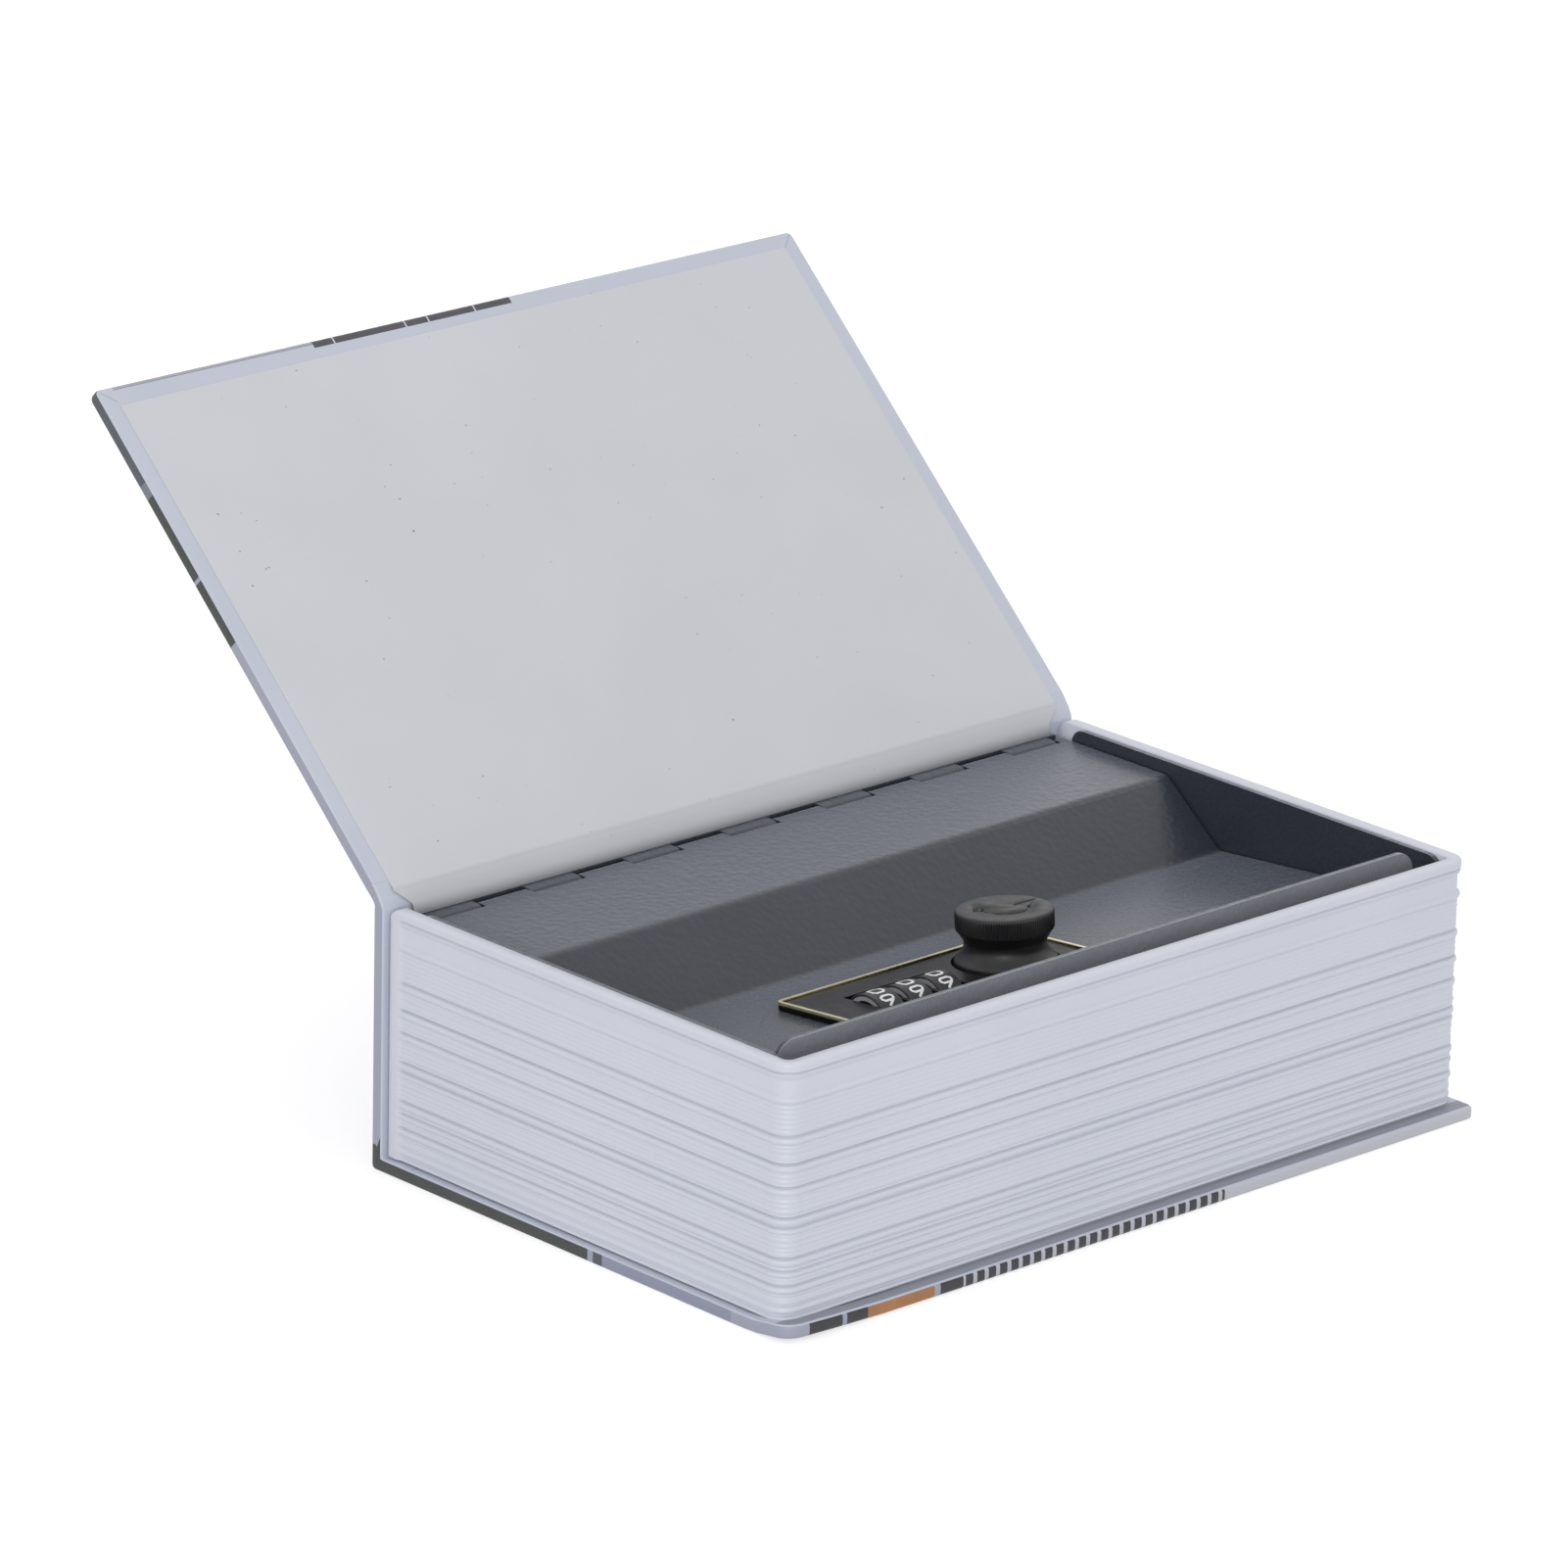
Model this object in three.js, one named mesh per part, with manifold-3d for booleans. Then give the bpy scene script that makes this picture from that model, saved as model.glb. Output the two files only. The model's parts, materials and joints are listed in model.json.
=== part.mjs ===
// Book-shaped safe: a hinged book cover round a ribbed page block, a steel tray inside it, and a
// steel lid that carries a lock with three dials and a turn knob. Units are millimetres, +Z is up,
// +X runs along the spine and the fore edge faces -Y. The origin is the middle of the underside.
// The front cover is stored open, the lid shut and unlocked.
import * as THREE from 'three';
import { mergeVertices } from 'three/addons/utils/BufferGeometryUtils.js';
import Module from 'manifold-3d';

const wasm = await Module();
wasm.setup();

// Clearances
const glueGap = 0.1;
const seat = 0.3;
const fit = 0.3;
const runClear = 0.3;
const past = 1; // a cutter reaches this far past what it cuts

// Book cover: greyboard, with printed wrap turned in round its edges and endpaper between them
const coverLength = 180;
const coverWidth = 115;
const paper = 0.3;
const boardThickness = 1.5;
const linerMargin = 3.6;
const creaseRadius = 1;
const coverCorner = 4;
const coverThickness = boardThickness + 2 * paper + 2 * seat;

// Front cover's joint, and how far it stands open
const openAngle = 137;
const closedGap = 0.8;
const pivotInset = 0.5;
const pivotRise = 1.1;
const boardSetback = 2;
const creaseGap = 0.6;
const linerBow = 2.2;

// Ribbed page block, a tray-shaped moulding with no back wall
const blockHeight = 49.8;
const headSquare = 1.1;
const foreSquare = 2.9;
const blockWall = 2.9;
const blockFloor = 1.5;
const blockCorner = 4.2;
const blockEndRadius = 2.5;
const ribCount = 17;
const ribDepth = 0.7;
const ribLand = 0.62;
const topBand = 2.6;
const bottomBand = 1.2;
const cornerSteps = 4;

// Steel tray
const traySheet = 1;
const sideDrop = 0.3;
const frontDrop = 1;
const wallCorner = 3;
const sideWallStop = 4.2;
const bendGap = 0.3;

// Lid hinge: knuckles of tray and lid take turns along one pin
const knuckleRadius = 1.7;
const pinRadius = 0.9;
const notchCount = 7;
const notchPitch = 25.15;
const notchWidth = 13;
const pinEndInset = 0.8;
const roundSides = 16;

// Lid: top flat, slope, low floor that rises to the front, front flange
const lidSheet = 1;
const lidDrop = 2.8;
const flatDepth = 29.4;
const slopeRun = 15;
const slopeDrop = 11.6;
const foldRadius = 2;
const floorRise = 5.3;
const flangeSetback = 6.4;
const flangeAboveRim = 0.5;
const flangeCorner = 4.3;
const flangeInset = 1.3;
const lidClear = 0.5;

// Lock, in its own frame: u along X, v to the back, w square to the lid's low floor
const lockX = -15.2;
const lockBehindFlange = 25.6;
const bezelLength = 62.2;
const bezelDepth = 25.8;
const bezelThickness = 1.6;
const bezelCorner = 1.5;
const trimWidth = 0.8;
const trimHeight = 0.5;
const faceRecess = 0.4;
const bezelOverlap = 2.5;
const bodyBelow = 12;
const bodyWall = 2;
const ledgeWidth = 2.2;
const ledgeThickness = 1.5;

// Dials
const dialCount = 3;
const dialRadius = 5.9;
const dialWidth = 5.9;
const dialPitch = 7.5;
const dialInset = 13.8;
const dialAxisW = -2.8;
const dialSlotBar = 0.95;
const sleeveRadius = 3.4;
const shaftRadius = 1.15;
const dialRoom = 0.95;
const dialSides = 30;
const springSheet = 0.4;
const springRise = 0.35;
const springStrip = 3;
const fingerLength = 2;
const fingerWidth = 1.5;
const springBridge = 2;
const codeNotchWidth = 1.2;
const codeNotchDepth = 0.8;
const dialChamfer = 0.35;

// Knob, spindle and cam
const knobInset = 15;
const knobRadius = 9.4;
const knobBaseRadius = 9.85;
const knobNeckRadius = 7.9;
const knobHeight = 11.4;
const knobBevel = 0.45;
const knobFootTop = 1.7;
const knobFlareHeight = 3.7;
const knobFlareOut = 0.6;
const knobNeckFoot = 4.7;
const knobNeckTop = 5.5;
const knobDrumFoot = 7.7;
const knobBoreDepth = 6.7;
const knobSides = 36;
const spindleRadius = 3;
const spindleEnd = 2.4;
const bossWall = 2.2;
const pocketRoom = 4;
const camReach = 30;
const camWidth = 9;
const camTail = 5;
const camSheet = 1.6;
const camBelow = 1;
const camScrewRadius = 1.2;
const camScrewHead = 3.8;
const camScrewHeadHeight = 1.6;
const camScrewInto = 4;
const keeperReach = 4;
const keeperSheet = 1.2;
const keeperWidth = 16;
const keeperClear = 0.7;
const keeperLeaf = 8;

// Screws
const lockScrewRadius = 0.9;
const lockScrewHead = 1.8;
const lockScrewHeadHeight = 1;
const lockBossRadius = 1.5;
const lockBossDepth = 4;
const lockScrewInset = 2.5;
const trayScrewRadius = 1.5;
const trayScrewHead = 3.4;
const trayScrewHeadHeight = 1.2;
const trayScrewInto = 1.2;
const trayScrewInset = 17.5;

// Lever that sets a new code
const leverTravel = 2;
const leverLength = 9;
const leverWidth = 4;
const leverSheet = 1;
const leverStem = 2.4;
const leverV = 0;

// Heights and places that follow from the sizes above
const halfLength = coverLength / 2;
const foreEdge = -coverWidth / 2;
const spineOut = coverWidth / 2;
const spineIn = spineOut - coverThickness;
const blockBottom = coverThickness + glueGap;
const rimTop = blockBottom + blockHeight;
const blockHalf = halfLength - headSquare;
const blockFront = foreEdge + foreSquare;
const blockBack = spineIn - glueGap;
const rimHalf = blockHalf - blockWall;
const rimFront = blockFront + blockWall;
const closedUnder = rimTop + closedGap;
const spineTop = closedUnder - creaseGap;
const spineBottom = coverThickness + creaseGap;
const pivotY = spineOut - pivotInset;
const pivotZ = closedUnder + pivotRise;
const boardBack = pivotY - boardSetback;

const trayHalf = rimHalf - fit;
const trayInHalf = trayHalf - traySheet;
const trayFront = rimFront + fit;
const trayInFront = trayFront + traySheet;
const trayBack = blockBack;
const trayInBack = trayBack - traySheet;
const trayFloorBottom = blockBottom + blockFloor + glueGap;
const trayFloorTop = trayFloorBottom + traySheet;

const lidTop = rimTop - lidDrop;
const hingeZ = lidTop - knuckleRadius;
const hingeY = trayInBack - runClear - knuckleRadius;
const boreRadius = pinRadius + runClear;
const lidHalf = trayInHalf - lidClear;
const flangeHalf = lidHalf - flangeInset;
const notchFront = hingeY - knuckleRadius - runClear;
const upperFoldY = hingeY - flatDepth;
const lowerFoldY = upperFoldY - slopeRun;
const lowerFoldZ = lidTop - slopeDrop;
const floorTilt = THREE.MathUtils.degToRad(floorRise);
const flangeFront = rimFront + flangeSetback;
const flangeTop = rimTop + flangeAboveRim;
const floorHeightAt = (y) => lowerFoldZ + (lowerFoldY - y) * Math.tan(floorTilt);

const lockY = flangeFront + lidSheet + lockBehindFlange;
const lockZ = floorHeightAt(lockY);
const bezelBottom = seat;
const bezelTop = bezelBottom + bezelThickness;
const faceTop = bezelTop - faceRecess;
const bodyTop = 0;
const bodyBottom = -bodyBelow;
const bodyLength = bezelLength - 2 * bezelOverlap;
const bodyDepth = bezelDepth - 2 * bezelOverlap;
const cutLength = bodyLength + 2 * fit;
const cutDepth = bodyDepth + 2 * fit;
const firstDial = dialInset - bezelLength / 2;
const dialAt = (i) => firstDial + i * dialPitch;
const lastDial = dialAt(dialCount - 1);
const leverU = (firstDial + lastDial) / 2;
const knobU = bezelLength / 2 - knobInset;
const dialRoomLow = firstDial - dialWidth / 2 - dialRoom;
const dialRoomHigh = lastDial + dialWidth / 2 + dialRoom;
const dialRoomFloor = dialAxisW - dialRadius - springSheet - springRise - 2 * seat;
const shaftBore = shaftRadius + runClear;
const knobHoleRadius = knobBaseRadius + 2 * runClear;
const knobBottom = bodyTop + fit;
const camTop = bodyBottom - camBelow;
const camBottom = camTop - camSheet;
const lockPlace = new THREE.Matrix4().makeRotationX(-floorTilt).setPosition(lockX, lockY, lockZ);

const trayScrewPlaces = [-1, 1].flatMap((side) =>
  [trayInFront + trayScrewInset, trayInBack - trayScrewInset].map((y) =>
    [side * (trayInHalf - trayScrewInset), y]));
const lockScrewPlaces = [-1, 1].flatMap((side) =>
  [lockScrewInset - bodyLength / 2, dialRoomHigh + lockScrewInset].map((u) =>
    [u, side * (bodyDepth / 2 - lockScrewInset)]));
const notchPlaces = Array.from({ length: notchCount }, (_, i) =>
  (i - (notchCount - 1) / 2) * notchPitch);

// Materials
const paint = (color, roughness, metalness = 0) =>
  new THREE.MeshStandardMaterial({ color, roughness, metalness });
const looks = {
  wrap: paint(0xa9a9bf, 0.45),
  board: paint(0x8f8a80, 0.95),
  endpaper: paint(0xdedfe3, 0.85),
  pages: paint(0xe4e6ee, 0.5),
  steel: paint(0x6d7077, 0.5, 0.3),
  bare: paint(0xb4b6ba, 0.35, 0.9),
  black: paint(0x232326, 0.4),
  bezel: paint(0x3c3b40, 0.45),
  trim: paint(0xd9c48c, 0.25, 0.9),
  brass: paint(0xc2a25a, 0.3, 0.9),
};

// A geometry as a solid that can be joined and cut
function solid(geometry) {
  const bare = geometry.clone();
  bare.deleteAttribute('normal');
  bare.deleteAttribute('uv');
  const merged = mergeVertices(bare, 1e-4);
  return new wasm.Manifold(new wasm.Mesh({
    numProp: 3,
    vertProperties: new Float32Array(merged.attributes.position.array),
    triVerts: new Uint32Array(merged.index.array),
  }));
}

// A named mesh from a joined solid
function piece(name, shape, material) {
  const data = shape.getMesh();
  const geometry = new THREE.BufferGeometry();
  geometry.setAttribute('position', new THREE.BufferAttribute(data.vertProperties, 3));
  geometry.setIndex(new THREE.BufferAttribute(data.triVerts, 1));
  geometry.computeVertexNormals();
  const mesh = new THREE.Mesh(geometry, material);
  mesh.name = name;
  return mesh;
}

const join = (...parts) => parts.reduce((all, part) => all.add(part));

function block(x0, x1, y0, y1, z0, z1) {
  const geometry = new THREE.BoxGeometry(x1 - x0, y1 - y0, z1 - z0);
  geometry.translate((x0 + x1) / 2, (y0 + y1) / 2, (z0 + z1) / 2);
  return solid(geometry);
}

// An outline of [y, z] points drawn out along X
function alongX(points, x0, x1) {
  const shape = new THREE.Shape(points.map(([y, z]) => new THREE.Vector2(y, z)));
  const geometry = new THREE.ExtrudeGeometry(shape, { depth: x1 - x0, bevelEnabled: false });
  geometry.applyMatrix4(new THREE.Matrix4().makeBasis(
    new THREE.Vector3(0, 1, 0), new THREE.Vector3(0, 0, 1), new THREE.Vector3(1, 0, 0)));
  geometry.translate(x0, 0, 0);
  return solid(geometry);
}

// A flat shape in X and Y drawn up from z0 to z1
function upward(shape, z0, z1, curveSegments = cornerSteps) {
  const options = { depth: z1 - z0, bevelEnabled: false, curveSegments };
  const geometry = new THREE.ExtrudeGeometry(shape, options);
  geometry.translate(0, 0, z0);
  return solid(geometry);
}

function rodX(radius, x0, x1, y, z, sides = roundSides) {
  const geometry = new THREE.CylinderGeometry(radius, radius, x1 - x0, sides);
  geometry.rotateZ(Math.PI / 2);
  geometry.translate((x0 + x1) / 2, y, z);
  return solid(geometry);
}

function rodZ(radius, z0, z1, x = 0, y = 0, sides = 24) {
  const geometry = new THREE.CylinderGeometry(radius, radius, z1 - z0, sides);
  geometry.rotateX(Math.PI / 2);
  geometry.translate(x, y, (z0 + z1) / 2);
  return solid(geometry);
}

// A profile of [radius, height] points turned about Z
function turned(points, sides) {
  const profile = points.map(([r, z]) => new THREE.Vector2(r, z));
  const geometry = new THREE.LatheGeometry(profile, sides);
  geometry.rotateX(Math.PI / 2);
  return solid(geometry);
}

function roundedRectangle(width, height, radius) {
  const [x, y, r] = [width / 2, height / 2, radius];
  const shape = new THREE.Shape();
  shape.moveTo(-x + r, -y);
  shape.lineTo(x - r, -y);
  shape.absarc(x - r, -y + r, r, -Math.PI / 2, 0);
  shape.absarc(x - r, y - r, r, 0, Math.PI / 2);
  shape.absarc(-x + r, y - r, r, Math.PI / 2, Math.PI);
  shape.absarc(-x + r, -y + r, r, Math.PI, 1.5 * Math.PI);
  return shape;
}

// A standing plate in Y and Z with round upper corners, drawn out along X
function sideWall(x0, x1, y0, y1, z0, z1, radius) {
  const points = [[y0, z0], [y1, z0]];
  for (let i = 0; i <= cornerSteps; i++) {
    const a = (i / cornerSteps) * Math.PI / 2;
    points.push([y1 - radius + radius * Math.cos(a), z1 - radius + radius * Math.sin(a)]);
  }
  for (let i = 0; i <= cornerSteps; i++) {
    const a = Math.PI / 2 + (i / cornerSteps) * Math.PI / 2;
    points.push([y0 + radius + radius * Math.cos(a), z1 - radius + radius * Math.sin(a)]);
  }
  return alongX(points, x0, x1);
}

// The closed outline of a bent sheet, given one face as [y, z] points and the sheet's thickness.
// The other face lies to the left of the points' direction.
function sheetOutline(face, thickness) {
  const back = face.map((point, i) => {
    const before = face[Math.max(i - 1, 0)];
    const after = face[Math.min(i + 1, face.length - 1)];
    const normals = [];
    for (const [a, b] of [[before, point], [point, after]]) {
      const length = Math.hypot(b[0] - a[0], b[1] - a[1]);
      if (length > 0) normals.push([-(b[1] - a[1]) / length, (b[0] - a[0]) / length]);
    }
    const sum = normals.reduce(([p, q], [r, s]) => [p + r, q + s], [0, 0]);
    const size = Math.hypot(...sum);
    const mitre = thickness / (size / normals.length);
    return [point[0] + (sum[0] / size) * mitre, point[1] + (sum[1] / size) * mitre];
  });
  return [...face, ...back.reverse()];
}

// The same points with an arc in place of each corner between the ends; radii has one for each
function bent(points, radii) {
  const line = [points[0]];
  radii.forEach((radius, i) => {
    const [a, c, b] = points.slice(i, i + 3).map(([y, z]) => new THREE.Vector2(y, z));
    const [toA, toB] = [a.sub(c).normalize(), b.sub(c).normalize()];
    const half = Math.acos(toA.dot(toB)) / 2;
    const turn = Math.PI - 2 * half;
    const middle = toA.clone().add(toB).setLength(radius / Math.sin(half));
    const [start, end] = [toA, toB].map((side) =>
      side.setLength(radius / Math.tan(half)).sub(middle));
    for (let k = 0; k <= cornerSteps; k++) {
      const t = (k / cornerSteps) * turn;
      const [p, q] = [Math.sin(turn - t) / Math.sin(turn), Math.sin(t) / Math.sin(turn)];
      line.push([c.x + middle.x + start.x * p + end.x * q,
        c.y + middle.y + start.y * p + end.y * q]);
    }
  });
  return [...line, points[points.length - 1]];
}

// Points of the front cover, given in its shut pose from its pivot, as they lie when it is open
function opened(y, z) {
  const a = THREE.MathUtils.degToRad(-openAngle);
  return [pivotY + y * Math.cos(a) - z * Math.sin(a), pivotZ + y * Math.sin(a) + z * Math.cos(a)];
}

// Slab of a board or its wrap, lying in X and Y and drawn in by inset, with its open side at y1.
// A fore edge at y0 is drawn in too and has round corners; without one the slab is square.
function coverSlab(inset, y0, y1, z0, z1, hasForeEdge) {
  const x = halfLength - inset;
  if (!hasForeEdge) return block(-x, x, y0, y1, z0, z1);
  const radius = coverCorner - inset;
  const outline = new THREE.Shape();
  outline.moveTo(x, y1);
  outline.lineTo(-x, y1);
  outline.absarc(-x + radius, y0 + inset + radius, radius, Math.PI, 1.5 * Math.PI);
  outline.absarc(x - radius, y0 + inset + radius, radius, 1.5 * Math.PI, 2 * Math.PI);
  return upward(outline, z0, z1);
}

// Wrap of one board, with its printed face at z = 0; it goes round the ends and the fore edge
function wrapShell(y0, y1, hasForeEdge) {
  const cavityTop = paper + 2 * seat + boardThickness;
  const edge = linerMargin - seat;
  const openY0 = hasForeEdge ? y0 : y0 - paper;
  return coverSlab(0, y0, y1, 0, cavityTop + paper, hasForeEdge)
    .subtract(coverSlab(paper, openY0, y1 + paper, paper, cavityTop, hasForeEdge))
    .subtract(coverSlab(edge, openY0, y1 + paper, paper, cavityTop + 2 * paper, hasForeEdge));
}

function boardPlate(y0, y1, hasForeEdge) {
  const inset = paper + seat;
  return coverSlab(inset, y0, y1, inset, inset + boardThickness, hasForeEdge);
}

function endpaperSheet(y0, y1) {
  const z0 = coverThickness - paper;
  return block(-halfLength + linerMargin, halfLength - linerMargin, y0 + linerMargin, y1,
    z0, coverThickness);
}

// Back cover and spine
function backCover() {
  const holes = join(...trayScrewPlaces.map(([x, y]) =>
    rodZ(trayScrewRadius + seat, blockBottom - trayScrewInto - seat, blockBottom + past, x, y)));
  return [
    piece('back_wrap', wrapShell(foreEdge, boardBack, true), looks.wrap),
    piece('back_board', boardPlate(foreEdge, boardBack, true).subtract(holes), looks.board),
    piece('back_endpaper', endpaperSheet(foreEdge, boardBack).subtract(holes), looks.endpaper),
  ];
}

function spine() {
  const stand = new THREE.Matrix4().makeRotationX(Math.PI / 2)
    .setPosition(0, spineOut, 0);
  const upright = (shape) => shape.transform(stand.elements);
  return [
    piece('spine_wrap', upright(wrapShell(spineBottom, spineTop, false)), looks.wrap),
    piece('spine_board', upright(boardPlate(spineBottom, spineTop, false)), looks.board),
  ];
}

// Bare wrap round the lower corner, from the back cover's printed face to the spine's
function lowerCrease() {
  const corner = [spineOut - creaseRadius, creaseRadius];
  const face = [[spineOut, spineBottom - seat]];
  for (let i = 0; i <= cornerSteps; i++) {
    const a = -(i / cornerSteps) * Math.PI / 2;
    face.push([corner[0] + creaseRadius * Math.cos(a), corner[1] + creaseRadius * Math.sin(a)]);
  }
  face.push([boardBack + seat, 0]);
  return piece('lower_crease', alongX(sheetOutline(face.reverse(), paper),
    -halfLength, halfLength), looks.wrap);
}

// Bare wrap between the spine's top and the open front cover
function upperCrease() {
  const outer = coverThickness - pivotRise;
  const face = [[spineOut, spineTop + seat], opened(-boardSetback + seat, outer)];
  return piece('upper_crease', alongX(sheetOutline(face, paper), -halfLength, halfLength),
    looks.wrap);
}

// Endpaper that crosses the joint, from the front cover's inner face down over the lid's hinge
function hingeLiner() {
  const curve = new THREE.CubicBezierCurve(
    new THREE.Vector2(hingeY - fit, lidTop + seat),
    new THREE.Vector2(hingeY + linerBow / 4, lidTop + seat + linerBow),
    new THREE.Vector2(...opened(-boardSetback + seat + linerBow, -pivotRise)),
    new THREE.Vector2(...opened(-boardSetback + seat, -pivotRise)));
  const face = curve.getPoints(cornerSteps).map((p) => [p.x, p.y]);
  const half = rimHalf - fit;
  return piece('hinge_liner', alongX(sheetOutline(face.reverse(), paper), -half, half),
    looks.endpaper);
}

// Front cover, drawn shut about its pivot and turned open with its group
function frontCover() {
  const group = new THREE.Group();
  group.position.set(0, pivotY, pivotZ);
  group.rotation.x = THREE.MathUtils.degToRad(-openAngle);
  const flip = new THREE.Matrix4().makeScale(1, 1, -1)
    .setPosition(0, -pivotY, coverThickness - pivotRise);
  const shut = (shape) => shape.transform(flip.elements);
  group.add(piece('front_wrap', shut(wrapShell(foreEdge, boardBack, true)), looks.wrap));
  group.add(piece('front_board', shut(boardPlate(foreEdge, boardBack, true)), looks.board));
  group.add(piece('front_endpaper', shut(endpaperSheet(foreEdge, boardBack)), looks.endpaper));
  return group;
}

// Outward offset and height of each point of the page block's wall, ribs and all
function blockProfile() {
  const profile = [[0, blockBottom], [blockWall, blockBottom]];
  const ribsFrom = blockBottom + bottomBand;
  const pitch = (rimTop - topBand - ribsFrom) / ribCount;
  for (let i = 0; i < ribCount; i++) {
    const z = ribsFrom + i * pitch;
    const land = pitch * (ribLand + 0.2 * Math.sin(2.4 * i));
    const depth = ribDepth * (1 + 0.4 * Math.sin(1.7 * i));
    const lip = (pitch - land) / 3;
    profile.push([blockWall, z + lip / 2], [blockWall - depth, z + lip]);
    profile.push([blockWall - depth, z + 2 * lip], [blockWall, z + 2.5 * lip]);
  }
  profile.push([blockWall, rimTop], [0, rimTop]);
  return profile;
}

// Places along the wall's inner line, each with its outward direction
function blockPath() {
  const inner = blockCorner - blockWall;
  const path = [[-rimHalf, blockBack, -1, 0]];
  for (const [side, from] of [[-1, Math.PI], [1, 1.5 * Math.PI]]) {
    for (let i = 0; i <= cornerSteps; i++) {
      const a = from + (i / cornerSteps) * Math.PI / 2;
      const [c, s] = [Math.cos(a), Math.sin(a)];
      path.push([side * (rimHalf - inner) + inner * c, rimFront + inner + inner * s, c, s]);
    }
  }
  path.push([rimHalf, blockBack, 1, 0]);
  return path;
}

function pageBlock() {
  const profile = blockProfile();
  const path = blockPath();
  const positions = [];
  for (const [x, y, nx, ny] of path) {
    for (const [d, z] of profile) positions.push(x + nx * d, y + ny * d, z);
  }
  const n = profile.length;
  const faces = [];
  for (let i = 0; i + 1 < path.length; i++) {
    for (let j = 0; j < n; j++) {
      const [a, b] = [i * n + j, i * n + (j + 1) % n];
      faces.push(a, a + n, b, b, a + n, b + n);
    }
  }
  const outline = profile.map(([d, z]) => new THREE.Vector2(d, z));
  const last = (path.length - 1) * n;
  for (const [a, b, c] of THREE.ShapeUtils.triangulateShape(outline, [])) {
    faces.push(a, b, c, last + a, last + c, last + b);
  }
  const geometry = new THREE.BufferGeometry();
  geometry.setAttribute('position', new THREE.Float32BufferAttribute(positions, 3));
  geometry.setIndex(faces);
  const middle = path.map(([x, y, nx, ny]) =>
    new THREE.Vector2(x + nx * blockWall / 2, y + ny * blockWall / 2));
  const floor = upward(new THREE.Shape(middle), blockBottom, blockBottom + blockFloor);
  const holes = trayScrewPlaces.map(([x, y]) =>
    rodZ(trayScrewRadius + seat, blockBottom - past, blockBottom + blockFloor + past, x, y));
  const roundEnd = sideWall(-coverLength, coverLength, blockFront - coverWidth, blockBack,
    blockBottom - blockHeight, rimTop, blockEndRadius);
  return piece('page_block', join(solid(geometry), floor).subtract(join(...holes))
    .intersect(roundEnd), looks.pages);
}

// Steel tray: floor and four folded walls, with its hinge knuckles along the back edge
function steelTray() {
  const wallTop = rimTop - sideDrop;
  const endHalf = trayInHalf - bendGap;
  const floor = join(
    block(-trayHalf, trayHalf, trayInFront + bendGap, trayInBack - bendGap, trayFloorBottom,
      trayFloorTop),
    block(-endHalf, endHalf, trayFront, trayBack, trayFloorBottom, trayFloorTop));
  const sides = [[-trayHalf, -trayInHalf], [trayInHalf, trayHalf]].map(([x0, x1]) =>
    sideWall(x0, x1, trayInFront + bendGap, trayInBack - sideWallStop, trayFloorBottom,
      wallTop, wallCorner));
  const endWall = (y0, y1, top) => block(-endHalf, endHalf, y0, y1, trayFloorBottom, top);
  const front = endWall(trayFront, trayInFront, rimTop - frontDrop);
  const back = endWall(trayInBack, trayBack, lidTop);
  const half = notchWidth / 2 - fit;
  const knuckles = notchPlaces.map((x) => join(
    rodX(knuckleRadius, x - half, x + half, hingeY, hingeZ),
    block(x - half, x + half, hingeY, trayInBack + seat, lidTop - traySheet, lidTop))
    .subtract(rodX(boreRadius, x - half - past, x + half + past, hingeY, hingeZ)));
  const holes = trayScrewPlaces.map(([x, y]) =>
    rodZ(trayScrewRadius + seat, trayFloorBottom - past, trayFloorTop + past, x, y));
  return piece('steel_tray',
    join(floor, ...sides, front, back, ...knuckles).subtract(join(...holes)), looks.steel);
}

function hingePin() {
  const half = lidHalf - pinEndInset;
  return piece('hinge_pin', rodX(pinRadius, -half, half, hingeY, hingeZ), looks.bare);
}

// Pan-head screws through the tray's floor and the page block's into the back board
function trayScrews() {
  const top = trayFloorTop + glueGap;
  const bottom = blockBottom - trayScrewInto;
  return trayScrewPlaces.map(([x, y], i) => piece(`tray_screw_${i + 1}`, join(
    rodZ(trayScrewHead, top, top + trayScrewHeadHeight, x, y),
    rodZ(trayScrewRadius, bottom, top + glueGap, x, y)), looks.bare));
}

// Angle on the tray's front wall that the cam turns under
function camKeeper(tipHeight) {
  const x = lockX + knobU;
  const under = tipHeight + keeperClear;
  const wall = trayInFront + seat;
  return piece('cam_keeper', join(
    block(x - keeperWidth / 2, x + keeperWidth / 2, wall, wall + keeperReach, under,
      under + keeperSheet),
    block(x - keeperWidth / 2, x + keeperWidth / 2, wall, wall + keeperSheet, under,
      under + keeperLeaf)), looks.bare);
}

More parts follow.
